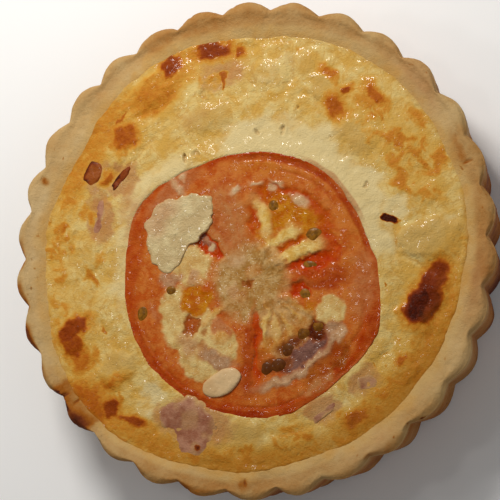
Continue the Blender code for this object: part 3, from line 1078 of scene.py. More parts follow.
# the edge comes down to the crust
edge_level = mouth_height(angle) - 0.05 + 0.14 * noise(spot, 2.2, 91) + 0.08 * noise(spot, 0.9, 92)
height = height - (height - edge_level) * rise(3.2, 1.4, over_edge) - 0.5 * rise(0.9, 0.0, over_edge)
# pits, each with a low rim round it and painted shade in its hollow
for direction, distance, width, depth in PITS:
    share = 1 - 2 * bent_oval(near_x, near_y, direction, distance, width, width) / width
    hollow = rise(1.15, 0.5, share)
    height = height - depth * hollow + 0.12 * np.exp(-((share - 1.35) / 0.3) ** 2)
    seam = np.maximum(seam, 0.8 * hollow)
# under the slice the custard drops away
height = height - (height - SLICE_UNDERSIDE + 0.4) * rise(0.3, 3.2, inside_slice + 0.3 * noise(spot, 3.6, 93))
surface = np.stack([x, y, height], axis=2)
WALLS = (
    # hidden under the rim: how far inside the mouth, height
    (5.6, 4.4),
    (3.4, 5.2),
    (1.6, 12.0),
    (0.5, 20.0),
)
wall = np.stack([ring(angle, mouth - inset, level) for inset, level in WALLS])
hidden = np.zeros((len(WALLS), CUSTARD_COLUMNS))
print(f"custard top from {height.min():.1f} to {height.max():.1f} mm")

# %% [markdown]
# Set egg is yellow, clouded by fat and marbled where it browns. A flat yellow with brown spots would look
# like paint, so each colour is broken by grain of its own size before the next is mixed over it. The gloss
# is not even either: fat stands in tiny beads, and only those carry the coat that glints.


# %% Finish of the custard
def custard_finish():
    """Set egg: yellow, cream where fat rose, golden in marbled areas, and brown by a ramp, with painted shade
    along its creases, folds and pits. A film of fat lies over it in places, rippled finely enough to break
    the light into glints."""
    recipe = Recipe("egg_custard")
    toast = recipe.channel("toast")
    clear = recipe.channel("clear")
    golden = recipe.channel("golden")
    cloudy = recipe.grain(6.0, 4.0, 0.6, twist=1.0)
    mottle = recipe.grain(2.4, 4.0, 0.6)
    veined = recipe.grain(4.0, 3.0, 0.5, twist=0.7)
    freckle = recipe.grain(0.8, 3.0, 0.6)
    milk = 0.6 * cloudy + 0.4 * veined
    colour = recipe.mix(milk.between(0.38, 0.62), srgb(198, 154, 70), srgb(211, 184, 116))
    colour = recipe.mix((freckle + mottle - 0.5).between(0.55, 0.75) * 0.35, colour, srgb(188, 146, 72))
    # painted shade: darker tan lines where the skin creases, in colour only
    crease_shade = 1 - recipe.away(recipe.grain(4.2, 3.0, 0.5, twist=1.4), 0.5).between(0.0, 0.035)
    colour = recipe.mix(crease_shade * 0.55, colour, srgb(188, 138, 58))
    cream = recipe.channel("cream") + 0.9 * (cloudy - 0.5) + 0.5 * (veined - 0.5)
    creamy = recipe.mix(mottle, srgb(204, 178, 120), srgb(216, 196, 144))
    waxy = recipe.mix(mottle, srgb(182, 142, 70), srgb(192, 156, 88))
    colour = recipe.mix(cream.between(0.15, 0.9), colour, creamy)
    colour = recipe.mix(clear * 0.8, colour, waxy)
    pink = recipe.channel("pink") + 0.7 * (mottle - 0.5)
    colour = recipe.mix(pink.between(0.1, 0.95) * 0.75, colour, srgb(172, 112, 66))
    gilt = golden.between(0.0, 0.9) * (0.11 + 0.24 * (veined + 0.35 * (mottle - 0.5)).between(0.4, 0.7))
    speckled = toast + (0.26 * (mottle - 0.5) + 0.26 * (freckle - 0.5)) * toast.between(0.0, 0.3)
    shade = speckled.most(gilt)
    browned = recipe.ramp(shade, (
        (0.00, srgb(204, 166, 84)),
        (0.16, srgb(200, 150, 60)),
        (0.30, srgb(190, 124, 36)),
        (0.45, srgb(174, 94, 16)),
        (0.62, srgb(144, 62, 6)),
        (0.78, srgb(116, 40, 2)),
        (0.94, srgb(80, 22, 0)),
        (1.00, srgb(60, 14, 0)),
    ))
    colour = recipe.mix(shade.between(0.02, 0.26), colour, browned)
    colour = recipe.mix(recipe.channel("contact") * 0.8, colour, srgb(156, 98, 24))
    # painted shade in the folds and pits
    colour = recipe.mix(recipe.channel("seam") * 0.35, colour, srgb(140, 86, 30))
    ripple = recipe.grain(0.6, 2.0, 0.5)
    wet = recipe.grain(9.0, 2.0)
    return recipe.finish(
        bumps=((veined, 0.25), (mottle, 0.12), (ripple, 0.09), (recipe.grain(0.35, 1.0), 0.12)),
        Base_Color=colour,
        Roughness=0.42 + 0.15 * mottle,
        Specular_IOR_Level=0.06,
        Coat_Weight=recipe.beads() * (0.35 + 0.5 * wet.between(0.4, 0.62)) * (1 - 0.7 * toast),
        Coat_Roughness=0.12,
    )


masks = {"toast": toast, "golden": golden, "cream": cream, "pink": pink, "clear": clear,
         "seam": seam, "contact": contact}
masks = {name: np.concatenate([hidden, field]) for name, field in masks.items()}
piece("custard", np.concatenate([wall, surface]), custard_finish(), "egg_custard", "egg_custard", **masks)

# %% [markdown]
# ## The tomato slice
#
# A cut tomato is a plan of the fruit: thin skin, a wall of orange flesh, spokes of flesh that meet in a
# pale core, and chambers between them with gel and seeds. In the oven the cut face dries a little and
# egg and cheese run into the chambers. Gel and flesh could be pieces of their own, but on a baked slice
# they run into each other. So the slice is one surface, and what lies on it is laid down as in a painting:
# each thing is an oval bent round the slice's middle, and where it lies the colours under it give way.

# %% What lies on the slice
LAID = (
    # colour, direction, distance, length round the slice, width outward, lean, strength, soft edge, lift
    ("pale", 113, 14, 9, 20, 0, 0.85, 4.0, 0.0),
    ("deep", 120, 16, 2, 9, 0, 0.5, 1.6, -0.1),
    ("film", 116, 15, 1.5, 12, 5, 0.6, 1.4, 0.12),
    ("film", 104, 17, 1.2, 13, 0, 0.4, 1.4, 0.08),
    ("film", 131, 31, 16, 5, 0, 0.9, 1.6, 0.05),
    ("film", -3, 28, 16, 6, 0, 0.7, 2.6, 0.08),
    ("gold", 85, 28, 8, 3, 0, 0.4, 2.5, 0.0),
    # the chamber at the back right: gel, and two fingers of flesh that reach into it
    ("orange", 52, 17, 24, 16, 0, 1.0, 1.1, -0.4),
    ("red", 86, 17, 3, 11, 0, 0.8, 1.0, -0.1),
    ("red", 21, 21, 8, 5, 0, 0.7, 1.4, -0.1),
    ("red", 60, 24, 18, 1.4, 0, 0.7, 1.2, -0.1),
    ("gold", 57, 19, 14, 8, 0, 0.95, 1.4, 0.1),
    ("gold", 83, 18, 4, 3, 0, 0.3, 1.4, 0.0),
    ("finger", 72, 13, 2.8, 15, -25, 1.0, 1.3, 0.38),
    ("finger", 54, 13, 3.5, 8, 20, 1.0, 1.3, 0.38),
    ("finger", 31, 13, 3.5, 13, 10, 1.0, 1.3, 0.38),
    ("finger", 46, 7, 7, 5, 0, 1.0, 1.6, 0.3),
    ("gold", 76, 10, 1.5, 8, -20, 0.6, 1.2, 0.0),
    ("gold", 64, 15, 1.6, 6, 0, 0.8, 1.2, -0.1),
    ("orange", 43, 13, 1.4, 9, 10, 0.8, 1.0, -0.15),
    ("white", 58, 23, 5, 2, 0, 0.75, 1.0, 0.3),
    ("white", 87, 24, 3, 1, 0, 0.8, 0.8, 0.25),
    ("white", 74, 25, 3, 1, 0, 0.75, 0.8, 0.25),
    ("white", 76, 23, 2, 2, 20, 0.65, 0.9, 0.25),
    ("white", 99, 23, 3, 1.6, -20, 0.8, 0.9, 0.2),
    ("white", 122, 32, 2, 2, 0, 0.7, 0.8, 0.25),
    ("white", 127, 31, 2, 6, 0, 0.6, 1.1, 0.2),
    # two windows at the right of the core, the first long and the second short
    ("deep", 2, 17, 5, 15, 0, 0.8, 1.4, -0.1),
    ("pale", 0, 12, 1.5, 8, 0, 0.4, 1.0, 0.1),
    ("red", 15, 15, 3.4, 12, 5, 1.0, 0.9, -0.5),
    ("saturated", 4, 15, 1.6, 13, 0, 0.8, 0.9, 0.1),
    ("red", -12, 12, 3.4, 6, 0, 1.0, 0.8, -0.55),
    ("film", -30, 10, 1.4, 8, 10, 0.6, 1.0, 0.15),
    # the core, woody in the very middle
    ("core", 180, 1, 16, 16, 0, 0.95, 4.0, -0.05),
    ("white", 124, 7, 5, 3, 0, 0.4, 2.4, 0.1),
    ("white", -158, 5, 3, 3, 0, 0.3, 1.8, 0.1),
    ("brown", 0, 0, 2.4, 2.4, 0, 0.9, 0.8, -0.3),
    ("brown", 170, 2, 1.5, 1.5, 0, 0.6, 0.9, -0.2),
    ("gold", -127, 4, 3, 5, 0, 0.35, 2.4, 0.0),
    ("gold", 75, 3, 4, 3, 0, 0.4, 2.0, 0.0),
    ("gold", 72, 11, 2, 5, 0, 0.5, 1.6, 0.0),
    # the chamber at the left, filled with egg and cheese
    ("custard", 162, 15, 10, 9, 0, 0.95, 1.6, 0.05),
    ("custard", -146, 18, 20, 13, 0, 1.0, 0.9, 0.12),
    ("custard", -122, 19, 12, 15, 20, 1.0, 0.9, 0.12),
    ("custard", -130, 19, 14, 10, 0, 0.9, 1.2, 0.12),
    ("lilac", 175, 20, 4, 5, 0, 0.7, 1.6, 0.05),
    ("lilac", 172, 14, 3, 3, 0, 0.5, 1.4, 0.15),
    ("gold", -164, 14, 7, 8, 0, 1.0, 1.0, -0.1),
    ("orange", -162, 14, 4, 4, 0, 0.5, 1.6, -0.05),
    ("orange", 177, 11, 2.5, 4, 0, 0.35, 1.6, 0.0),
    ("brown", -146, 18, 4.5, 4, 45, 0.9, 0.6, -0.35),
    ("red", -146, 18, 3.8, 3.2, 45, 0.5, 0.6, -0.1),
    ("lilac", -115, 20, 9, 4, 0, 0.9, 1.2, 0.1),
    ("film", -124, 13, 6, 4, 20, 0.9, 1.0, 0.1),
    ("film", -165, 25, 6, 2, 0, 0.7, 1.2, 0.05),
    ("finger", -142, 12, 1.5, 7, 0, 0.7, 0.9, 0.2),
    ("finger", -120, 15, 3.5, 2.5, 0, 0.6, 1.2, 0.15),
    ("lilac", -137, 21, 5, 4, 0, 0.45, 2.4, 0.0),
    ("brown", -130, 19, 1.5, 2.5, 20, 0.45, 0.9, -0.15),
    ("brown", -135, 16, 1.5, 2, 0, 0.4, 0.9, -0.15),
    # the slit beside the flake
    ("red", 139, 14, 3.6, 9, 0, 1.0, 0.6, -0.7),
    ("purple", 138, 15, 2, 5.5, 0, 0.8, 0.5, 0.2),
    ("lilac", 138, 15, 1.5, 3, 0, 0.5, 1.0, 0.1),
    ("white", 140, 13, 1.5, 1.2, 0, 0.9, 0.5, 0.25),
    # the chamber at the front right: a fan of fingers, then dark gel round the seeds, then a pale rim
    ("core", -52, 14, 13, 13, 0, 0.85, 1.4, -0.3),
    ("gold", -62, 16, 14, 4, 0, 0.7, 1.4, -0.1),
    ("gold", -23, 16, 3, 2.5, 0, 0.8, 1.0, 0.0),
    ("finger", -69, 11, 1.7, 10, 30, 0.85, 1.2, 0.3),
    ("finger", -58, 12, 1.3, 9, 25, 0.75, 1.0, 0.3),
    ("finger", -47, 13, 1.2, 7, 15, 0.75, 1.0, 0.3),
    ("finger", -36, 13, 1.2, 6, 5, 0.7, 1.0, 0.25),
    ("finger", -27, 14, 1.0, 6, 0, 0.6, 1.0, 0.2),
    ("custard", -20, 21, 7, 7, 0, 1.0, 0.9, 0.12),
    ("lilac", -32, 24, 6, 5, 0, 0.9, 1.0, 0.1),
    ("lilac", -48, 25, 12, 2.5, 0, 0.9, 1.0, 0.1),
    ("lilac", -72, 25, 15, 2.5, 0, 0.9, 1.0, 0.1),
    ("white", -52, 25, 8, 1, 0, 0.6, 1.0, 0.12),
    ("white", -31, 25, 4, 2.5, 0, 0.45, 1.4, 0.05),
    ("white", -75, 25, 7, 1, 0, 0.5, 0.9, 0.12),
    ("purple", -52, 22, 14, 4.5, 0, 1.0, 1.1, -0.15),
    ("dark", -36, 20, 5, 4.5, 0, 0.95, 1.2, -0.15),
    ("dark", -56, 18, 8, 3, 0, 0.8, 1.6, -0.1),
    ("dark", -72, 21, 7, 3, 0, 0.75, 1.6, -0.1),
    ("brown", -80, 18, 2.5, 2, 0, 0.5, 1.2, -0.1),
    # clear flesh in front of it
    ("brown", -46, 28, 14, 5, 0, 0.75, 1.2, -0.12),
    ("saturated", -46, 27, 11, 3.5, 0, 0.45, 1.6, 0.0),
    ("pale", -57, 30, 9, 2.5, 0, 0.9, 0.9, 0.1),
    ("deep", -46, 31, 2.5, 3, 20, 0.8, 0.8, -0.05),
    # the slit under the core
    ("saturated", -86, 15, 3.5, 18, 0, 0.7, 2.4, 0.0),
    ("deep", -92, 18, 4, 16, 0, 0.7, 1.6, 0.0),
    ("red", -82, 12, 2.4, 9, 10, 0.85, 0.7, -0.5),
    ("red", -86, 19, 1.2, 10, 5, 0.85, 0.7, -0.5),
)
print(len(LAID), "things laid on the slice")

# %% Colours of what lies on it
COLOURS = {
    # name: the two colours it varies between
    "pale": (srgb(170, 98, 46), srgb(178, 120, 70)),
    "film": (srgb(168, 90, 42), srgb(180, 110, 66)),
    "deep": (srgb(142, 38, 0), srgb(156, 52, 2)),
    "saturated": (srgb(158, 48, 0), srgb(172, 66, 4)),
    "orange": (srgb(168, 64, 0), srgb(178, 84, 2)),
    "red": (srgb(168, 44, 0), srgb(180, 62, 0)),
    "gold": (srgb(174, 90, 2), srgb(188, 122, 18)),
    "finger": (srgb(202, 156, 70), srgb(218, 188, 116)),
    "custard": (srgb(192, 150, 84), srgb(208, 180, 118)),
    "core": (srgb(160, 116, 54), srgb(190, 156, 102)),
    "lilac": (srgb(156, 116, 80), srgb(180, 146, 112)),
    "white": (srgb(194, 164, 118), srgb(206, 182, 144)),
    "purple": (srgb(102, 64, 54), srgb(130, 90, 76)),
    "brown": (srgb(118, 50, 2), srgb(142, 76, 16)),
    "dark": (srgb(62, 14, 2), srgb(94, 36, 4)),
}
# how wet each colour is
WET = {"orange": 0.8, "red": 0.25, "gold": 0.9, "purple": 0.8, "dark": 0.5, "lilac": 0.5, "saturated": 0.3}
print(len(COLOURS), "colours,", len(WET), "of them wet")

# %% [markdown]
# The slice's grid runs from its underside up the skin, over a rounded edge and inward to the middle. The
# outline is nearly round, so the same rows serve for the edge, the ring under the skin and the core.

# %% Plan of the slice
SLICE_COLUMNS, SLICE_ROWS = 620, 130
CUT_LEVEL = SLICE_TOP - 0.15
ROUNDING = 0.45
SIDES = (
    # how far inside the outline, height
    (2.0, SLICE_UNDERSIDE),
    (0.3, SLICE_UNDERSIDE + 0.8),
    (0.0, SLICE_TOP - 2.6),
    (0.0, CUT_LEVEL - ROUNDING),
)
angle = around(SLICE_COLUMNS)
circle = on_circle(angle, 20)
outline = slice_radius(angle) + 0.25 * noise(circle, 4.0, 501) + 0.12 * noise(circle, 1.1, 502)
rim_turn = np.linspace(0.0, math.pi / 2, 5)[1:]
cut_face = slice(len(SIDES) + len(rim_turn), None)
insets = np.concatenate([
    [inset for inset, _ in SIDES],
    ROUNDING * (1 - np.cos(rim_turn)),
    np.linspace(ROUNDING, SLICE_RADIUS - 0.4, SLICE_ROWS)[1:],
])
heights = np.concatenate([
    [level for _, level in SIDES],
    CUT_LEVEL - ROUNDING + ROUNDING * np.sin(rim_turn),
    np.full(SLICE_ROWS - 1, CUT_LEVEL),
])
reach = np.maximum(outline[None, :] - insets[:, None] * (outline / SLICE_RADIUS)[None, :], 0.05)
x = SLICE_MIDDLE[0] + reach * np.cos(angle)
y = SLICE_MIDDLE[1] + reach * np.sin(angle)
inset = np.broadcast_to(insets[:, None], x.shape)
direction = np.broadcast_to(angle, x.shape)
spot = flat(x, y)
print("slice grid:", x.shape)

# %% [markdown]
# The ring under the skin is the ripest flesh. How broad and how red it is changes round the slice, and
# in places a groove runs inside it where the cut face sank.

# %% Ring and groove
GROOVES = (
    # direction, half its spread, how far it runs inside the skin, width, depth
    (52, 42, 1.6, 1.3, 0.25),
    (60, 18, 4.0, 0.8, 0.12),
    (-138, 30, 1.6, 1.0, 0.20),
    (-142, 18, 3.0, 0.8, 0.12),
    (150, 16, 4.0, 0.9, 0.10),
    (-24, 12, 4.0, 0.9, 0.12),
    (-76, 20, 2.6, 0.8, 0.12),
)
ring_width = 1.5 + swells(direction, (155, 26, 3.4), (-90, 45, 1.7), (-20, 14, 2.2), (-140, 25, 0.9))
ring_depth = ring_width + 0.5 * noise(spot, 3.0, 511) - inset
ring_strength = 1 - swells(direction, (155, 30, 0.35), (-2, 8, 0.35))
ripest = np.clip(swells(direction, (-95, 40, 1.0), (-20, 12, 0.7), (-140, 20, 0.5)), 0, 1)
colours = {name: np.zeros_like(x) for name in COLOURS}


def lay(name, mask):
    """Lays a colour down: each of the others keeps what the mask leaves clear, and this one gains it."""
    for other in colours:
        colours[other] = colours[other] * (1 - mask)
    colours[name] = colours[name] + mask


lay("saturated", ring_strength * rise(-0.9, 0.9, ring_depth))
lay("deep", ripest * rise(-0.6, 0.6, ring_depth - 1.2))
near_x, near_y = shaken(x, y, 520, 1.0, 0.45)
wavering = inset + 0.4 * noise(spot, 2.6, 525)
groove = np.zeros_like(x)
for centre, half_spread, inside, width, depth in GROOVES:
    beyond = np.degrees(np.abs(away_from(direction, centre))) - half_spread
    trough = rise(width / 2 + 0.35, width / 2 - 0.35, np.abs(wavering - inside)) * rise(5, -5, beyond)
    groove = np.maximum(groove, depth / 0.25 * trough)
lay("deep", 0.75 * groove)
print(f"ring from {ring_width.min():.1f} to {ring_width.max():.1f} mm wide, with {len(GROOVES)} grooves")

# %% [markdown]
# Each thing laid down also lifts or sinks the surface a little. On top come dimples everywhere, fibres
# that run out from the middle, and a swelling where there is gel.

# %% Surface of the slice
lift = -0.25 * groove
for name, *shape, strength, edge, raised in LAID:
    depth = bent_oval(near_x, near_y, *shape, middle=SLICE_MIDDLE)
    lay(name, strength * rise(-edge / 2, edge / 2, depth))
    lift = lift + raised * rise(-0.5 - 0.3 * edge, 0.5 + 0.3 * edge, depth)
fibre = noise((7 * np.cos(direction), 7 * np.sin(direction), reach / 9), 0.5, 531)
gel = over(colours["orange"], colours["gold"], colours["red"], colours["purple"])
dimple = 0.10 * hills(spot, 4.0, 533, 2) + 0.05 * noise(spot, 1.3, 535) + 0.03 * fibre
swollen = gel * (0.08 + 0.13 * noise(spot, 1.5, 537))
egg_like = over(colours["custard"], colours["lilac"], colours["white"], colours["finger"])
on_top = rise(0.2, 0.9, inset)
film_edge = np.clip(swells(direction, (148, 12, 1.0), (32, 20, 1.0), (-42, 16, 1.0), (0, 10, 0.7)), 0, 1)
height = heights[:, None] + on_top * (lift + dimple + swollen + 0.14 * egg_like * noise(spot, 1.5, 539))
height = height - 0.15 * film_edge * rise(1.6, 0.6, inset) * on_top
lay("film", 0.6 * film_edge * rise(1.5, 0.3, inset + 0.8 * noise(spot, 1.8, 541)))
slice_grid = np.stack([x, y, height], axis=2)
wet = np.clip(sum(share * colours[name] for name, share in WET.items()), 0, 1)
print(f"cut face from {height[cut_face].min():.1f} to {height.max():.1f} mm")

# %% [markdown]
# The finish mixes the laid colours in turn over plain flesh, each between two shades so that none is
# flat. Real flesh lets light through, but the slice lies on custard and is nearly opaque, so warm colours
# do that work. The coat is strongest on the gel, which is the wettest part.


# %% Finish of the slice
def tomato_finish():
    """Roasted tomato: flesh with paler streaks, over which each laid colour is mixed in turn. A wet coat
    lies on the gel, and the dry flesh still carries tiny beads of juice."""
    recipe = Recipe("tomato_flesh")
    streaky = recipe.grain(2.2, 4.0, 0.6)
    broad = recipe.grain(7.0, 3.0)
    grainy = recipe.grain(0.6, 3.0, 0.6)
    vary = (streaky + 0.4 * (grainy - 0.5)).between(0.34, 0.66)
    flesh = recipe.mix(vary, srgb(174, 74, 14), srgb(192, 110, 46))
    colour = recipe.mix(broad.between(0.4, 0.65) * 0.5, flesh, srgb(190, 112, 40))
    for name, (first, second) in COLOURS.items():
        colour = recipe.mix(recipe.channel(name), colour, recipe.mix(vary, first, second))
    wet = recipe.channel("wet")
    return recipe.finish(
        bumps=((streaky, 0.10), (grainy, 0.08), (recipe.grain(0.35, 1.0), 0.12)),
        Base_Color=colour,
        Roughness=0.42 - 0.15 * wet,
        Specular_IOR_Level=0.03,
        Coat_Weight=recipe.beads() * (0.5 + 0.3 * wet),
        Coat_Roughness=0.12,
    )


piece("tomato", slice_grid, tomato_finish(), "tomato_flesh", "tomato_slice", wet=wet, **colours)

# %% [markdown]
# ## Seeds
#
# Tomato seeds are flattened drops in a coat of gel. They lie half sunk, so only a shallow olive-brown
# dome shows. They could be painted on the slice, but a seed catches the light as a thing of its own. They
# are one piece: the same small drop, set down for each seed with its own place, size and turn.

# %% Where the seeds lie
SEEDS = (
    # direction and distance from the slice's middle, length, width, turn from outward
    (73, 19, 3.4, 3.0, 10),
    (35, 19, 4.6, 3.6, -10),
    (14, 15, 4.2, 2.6, -10),
    (-14, 14, 3.6, 3.0, -15),
    (-33, 20, 3.2, 2.8, 75),
    (-44, 18, 3.8, 3.4, -75),
    (-60, 19, 4.0, 3.8, 60),
    (-71, 21, 4.2, 3.6, 90),
    (-79, 21, 3.6, 3.4, -30),
    (-167, 28, 4.2, 3.2, 65),
    (-177, 20, 3.2, 2.8, -15),
)
print(len(SEEDS), "seeds")

# %% One seed
SEED_ROWS, SEED_COLUMNS = 14, 26


def drop(middle, length, width, turn, level):
    """A flattened ball drawn to a blunt point at one end: the width shrinks along the length."""
    polar = np.linspace(-math.pi / 2 + 0.06, math.pi / 2 - 0.06, SEED_ROWS)[:, None]
    once_round = around(SEED_COLUMNS)[None, :]
    along = np.cos(polar) * np.cos(once_round)
    across = np.cos(polar) * np.sin(once_round) * (1 - 0.22 * along)
    shift_x, shift_y = rotated(along * length / 2, across * width / 2, turn)
    points = np.broadcast_arrays(middle[0] + shift_x, middle[1] + shift_y, level + 0.5 * np.sin(polar))
    return np.stack(points, axis=2)


def from_middle(direction, distance):
    """A place told by its direction and distance from the slice's middle."""
    turn = math.radians(direction)
    return SLICE_MIDDLE[0] + distance * math.cos(turn), SLICE_MIDDLE[1] + distance * math.sin(turn)


def level_at(grid, middle):
    """The height of a grid's top at the point nearest to a place."""
    gap = np.hypot(grid[:, :, 0] - middle[0], grid[:, :, 1] - middle[1])
    return grid[:, :, 2].reshape(-1)[np.argmin(gap)]


# %% Finish of the seeds, and their piece
def seed_finish():
    """Olive brown, mottled, warmer at the rim where gel stains it, and darker towards the front right."""
    recipe = Recipe("tomato_seed")
    mottle = recipe.grain(0.9, 3.0)
    colour = recipe.mix(mottle.between(0.35, 0.65), srgb(104, 66, 12), srgb(140, 92, 20))
    colour = recipe.mix(recipe.channel("rim") * 0.4, colour, srgb(140, 76, 10))
    colour = recipe.mix(recipe.channel("dark") * 0.8, colour, srgb(76, 28, 4))
    return recipe.finish(
        bumps=((mottle, 0.06),),
        Base_Color=colour,
        Roughness=0.5,
        Specular_IOR_Level=0.06,
        Coat_Weight=0.08,
        Coat_Roughness=0.14,
    )


drops = []
for direction, distance, length, width, turn in SEEDS:
    middle = from_middle(direction, distance)
    drops.append(drop(middle, length, width, direction + turn, level_at(slice_grid[cut_face], middle) - 0.3))
drops = np.stack(drops)
darkened = rise(0.0, 10.0, -drops[:, :, :, 1] - 16) * rise(0.0, 4.0, drops[:, :, :, 0])
drop_rim = 1 - np.sin(np.clip(np.linspace(-math.pi / 2, math.pi / 2, SEED_ROWS), 0, None))[None, :, None]
piece("seeds", drops, seed_finish(), "tomato_flesh", rim=drop_rim, dark=darkened)

# %% [markdown]
# ## Cheese
#
# A flake of melted cheese lies over the slice, thin and ragged, and a smooth lump sits at its lower edge.
# Each could be a flat outline with a thickness, but its rim would be cut square. So each is an edge
# carried inward and over the top in a rounded step. The edges are formulas of direction.


# %% A lying piece from its edge
def lying(edge, middle, under, rows, thickness, seed, unevenness, bevel=0.06, rag=0.04):
    """A thin closed body, and how far in from its edge each of its points lies. The edge, given from its
    middle, is shrunk in steps; the underside follows a height, and the top stands above it by the
    thickness, rounded over a share of its width."""
    edge_x, edge_y = edge
    ragged = 1 + rag * hills(flat(edge_x, edge_y), 1.6, seed, 3)
    turn = np.linspace(0, math.pi / 2, 7)
    shrink = np.concatenate([
        [0.3, 0.7, 0.93],
        0.96 + 0.04 * np.sin(turn),
        1 - bevel * (1 - np.cos(turn))[1:],
        np.linspace(1 - bevel, 0.03, rows)[1:],
    ])[:, None]
    lift = np.concatenate([
        [0, 0, 0],
        0.5 - 0.5 * np.cos(turn),
        0.5 + 0.5 * np.sin(turn)[1:],
        np.ones(rows - 1),
    ])[:, None]
    x = middle[0] + shrink * ragged * edge_x
    y = middle[1] + shrink * ragged * edge_y
    body = thickness * (0.9 + unevenness * hills(flat(x, y), 3.2, seed + 1, 3))
    grid = np.stack([x, y, under(x, y) + lift * np.maximum(body, 0.15)], axis=2)
    return grid, (1 - shrink) * ragged * np.hypot(edge_x, edge_y)


# %% Outline and finish of the flake
FLAKE_MIDDLE = (-18.0, 5.0)


def flake_radius(angle):
    """A ragged round, with a corner and a tongue that reach out and a bay between them."""
    corner = 3.5 * swell(angle, 40, 24)
    tongue = 2.8 * swell(angle, -112, 26)
    bay = 3.0 * swell(angle, -48, 32)
    return 8.0 + corner + tongue - bay + 0.3 * np.sin(7 * angle) + 0.2 * np.sin(11 * angle + 1)


def cheese_finish():
    """Pale and cloudy, tinted by the tomato where the flake is thin, warmer at the rim, with fat beads."""
    recipe = Recipe("melted_cheese")
    cloudy = recipe.grain(4.5, 4.0, 0.6)
    fine = recipe.grain(0.6, 2.0)
    colour = recipe.mix(cloudy.between(0.35, 0.65), srgb(184, 158, 110), srgb(206, 186, 138))
    colour = recipe.mix(recipe.channel("thin") * 0.55, colour, srgb(184, 130, 88))
    colour = recipe.mix(recipe.channel("rim") * 0.3, colour, srgb(176, 128, 70))
    return recipe.finish(
        bumps=((cloudy, 0.35), (recipe.grain(1.6, 3.0), 0.2), (fine, 0.12), (recipe.grain(0.35, 1.0), 0.12)),
        Base_Color=colour,
        Roughness=0.4,
        Specular_IOR_Level=0.12,
        Coat_Weight=recipe.beads(),
        Coat_Roughness=0.10,
    )


# %% The flake
angle = around(300)
radius = flake_radius(angle)
flake, inward = lying(
    (radius * np.cos(angle), radius * np.sin(angle)), FLAKE_MIDDLE, lambda x, y: SLICE_TOP - 0.45,
    rows=44, thickness=0.75, seed=700, unevenness=0.25, rag=0.06)
flake_x, flake_y = shaken(flake[:, :, 0], flake[:, :, 1], 703, 0.8, 0.3)
thin = rise(-2.0, 2.0, bent_oval(flake_x, flake_y, 143, 29, 12, 6, middle=SLICE_MIDDLE))
rim = rise(0.9, 0.1, inward)
piece("cheese_flake", flake, cheese_finish(), "melted_cheese", "melted_cheese", thin=thin, rim=rim)


# %% The lump
def lump_finish():
    """Even, pale and waxy, between two close shades, with a few beads of fat."""
    recipe = Recipe("golden_cheese")
    cloudy = recipe.grain(5.0, 3.0)
    colour = recipe.mix(cloudy.between(0.35, 0.65), srgb(198, 162, 114), srgb(210, 178, 132))
    return recipe.finish(
        bumps=((recipe.grain(3.0, 2.0), 0.3), (recipe.grain(1.2, 2.0), 0.06), (recipe.grain(0.4, 1.0), 0.04)),
        Base_Color=colour,
        Roughness=0.42,
        Specular_IOR_Level=0.08,
        Coat_Weight=0.6 * recipe.beads(0.45, 0.58, 0.66),
        Coat_Roughness=0.14,
    )


angle = around(130)
dented = 1 - swells(angle, (100, 30, 0.14), (-60, 30, 0.08))
edge = rotated(5.0 * dented * np.cos(angle), 3.1 * dented * np.sin(angle), 24)
middle, size = middle_and_size("cheese_nub")
lump, inward = lying(
    edge, middle, lambda x, y: SLICE_TOP - 0.4, rows=24, thickness=1.1, seed=720, unevenness=0.16, bevel=0.35)
print("lump:", " by ".join(f"{width:.1f}" for width in size), "mm as a solid")
piece("cheese_lump", lump, lump_finish(), "golden_cheese", "cheese_nub")

# %% [markdown]
# ## Ham
#
# The pieces of ham are sunk in the custard, and only their tops show: pink, a little glassy with fat, and
# browned where they stick out. A veil of egg runs over their edges. They could be cut from boxes, but
# baked ham has curled corners, so each is a lying piece like the cheese, and its underside follows the
# custard.

# %% Cut pieces of ham
HAM = {
    # solid: half its length, half its width, turn, how charred, how far it stands out
    "ham_right": (2.9, 2.3, 20, 0.0, 0.05),
    "ham_sliver": (4.2, 1.1, 35, 0.1, 0.15),
    "ham_left": (4.7, 1.8, 85, 0.0, 0.1),
    "ham_die": (3.8, 2.4, 60, 0.75, 0.2),
    "ham_crisp": (4.0, 1.1, 45, 1.0, 0.2),
}


def ham_edge(angle, half_length, half_width, turn):
    """The edge of a cut piece: a circle pushed into corners by raising its cosine and sine to a power
    under 1, drawn out both ways and turned. A little unevenness keeps it from looking stamped."""
    def cornered(wave):
        """A wave pushed towards its ends: its size to a power under 1, with its sign kept."""
        return uneven * np.sign(wave) * np.abs(wave) ** 0.7

    uneven = 1 + 0.1 * np.sin(2 * angle + 3 * half_length) + 0.06 * np.sin(5 * angle + half_width)
    return rotated(half_length * cornered(np.cos(angle)), half_width * cornered(np.sin(angle)), turn)


def large_ham_edge(angle):
    """The largest piece: round, with a long tongue to the back left and a bay in front of it."""
    radius = 7.4 + swells(angle, (141, 26, 2.4), (-150, 34, -2.4)) + 0.2 * np.sin(5 * angle)
    return radius * np.cos(angle), radius * np.sin(angle)


print(len(HAM) + 1, "pieces of ham")

# %% [markdown]
# Ham is marbled pink, and its finish has two things over that: egg, which veils it towards the edges, and
# char, which runs from brown to nearly black on the corners that stand out. Both are stored on the mesh.


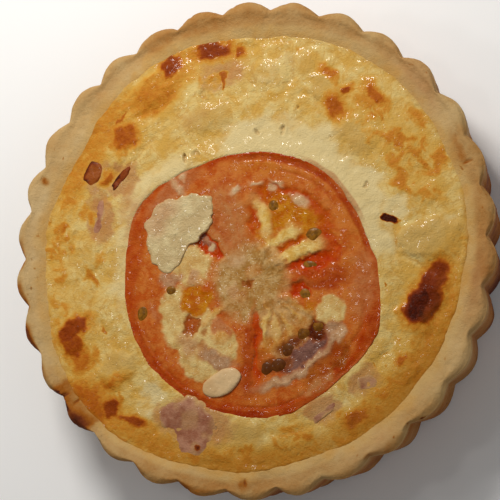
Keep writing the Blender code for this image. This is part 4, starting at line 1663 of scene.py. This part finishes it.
# %% Finish of the ham
def ham_finish():
    """Pink between two shades, then egg by the veil, then a ramp of browns by the char."""
    recipe = Recipe("baked_ham")
    marble = recipe.grain(2.4, 4.0, 0.6)
    fine = recipe.grain(0.6, 2.0)
    char = recipe.channel("char")
    colour = recipe.mix(marble.between(0.35, 0.65), srgb(144, 88, 62), srgb(172, 122, 94))
    colour = recipe.mix(recipe.channel("veil"), colour, srgb(186, 144, 90))
    scorched = recipe.ramp(char + 0.25 * (fine - 0.5), (
        (0.2, srgb(160, 88, 28)),
        (0.55, srgb(122, 50, 10)),
        (0.9, srgb(70, 20, 4)),
    ))
    colour = recipe.mix(char.between(0.1, 0.35), colour, scorched)
    return recipe.finish(
        bumps=((marble, 0.10), (fine, 0.05), (recipe.grain(0.35, 1.0), 0.10)),
        Base_Color=colour,
        Roughness=0.4,
        Specular_IOR_Level=0.08,
        Coat_Weight=0.8 * recipe.beads(0.45),
        Coat_Roughness=0.10,
    )


# %% Laying the ham
SLAB_THICKNESS = 1.5
SUNK = 1.42
LARGE_SUNK = 1.28
finish = ham_finish()
angle = around(160)
slabs = {}
for node, (*shape, charred, proud) in HAM.items():
    slabs[node] = (ham_edge(angle, *shape), charred, proud, SUNK)
slabs["ham_large"] = (large_ham_edge(angle), 0.0, 0.1, LARGE_SUNK)
for number, node in enumerate(HAM_NODES):
    edge, charred, proud, sunk = slabs[node]
    middle = middle_and_size(node)[0]
    slab, inward = lying(
        edge, middle, lambda x, y: custard_height(x, y) - sunk, rows=22, thickness=SLAB_THICKNESS + proud,
        seed=740 + number, unevenness=0.1, bevel=0.4, rag=0.05)
    slab_x, slab_y = slab[:, :, 0], slab[:, :, 1]
    inward = inward + 0.5 * noise(flat(slab_x, slab_y), 1.6, 760 + number)
    back_left = rise(1.0, -1.4, (slab_x - middle[0]) - 0.4 * (slab_y - middle[1]))
    char = charred * (0.5 + 0.2 * rise(0.8, 0.1, inward) + 0.65 * back_left * rise(2.0, 0.4, inward))
    if node == "ham_large":
        char = over(char, 0.9 * rise(-0.3, 0.5, bent_oval(slab_x, slab_y, -105, 49, 1.6, 1.3)))
    veil = (1 - charred) * over(
        rise(1.8, 0.3, inward), 0.4 * rise(0.1, 0.6, noise(flat(slab_x, slab_y), 2.4, 780 + number)))
    piece(node + "_slab", slab, finish, "baked_ham", node, char=np.clip(char, 0, 1), veil=veil)
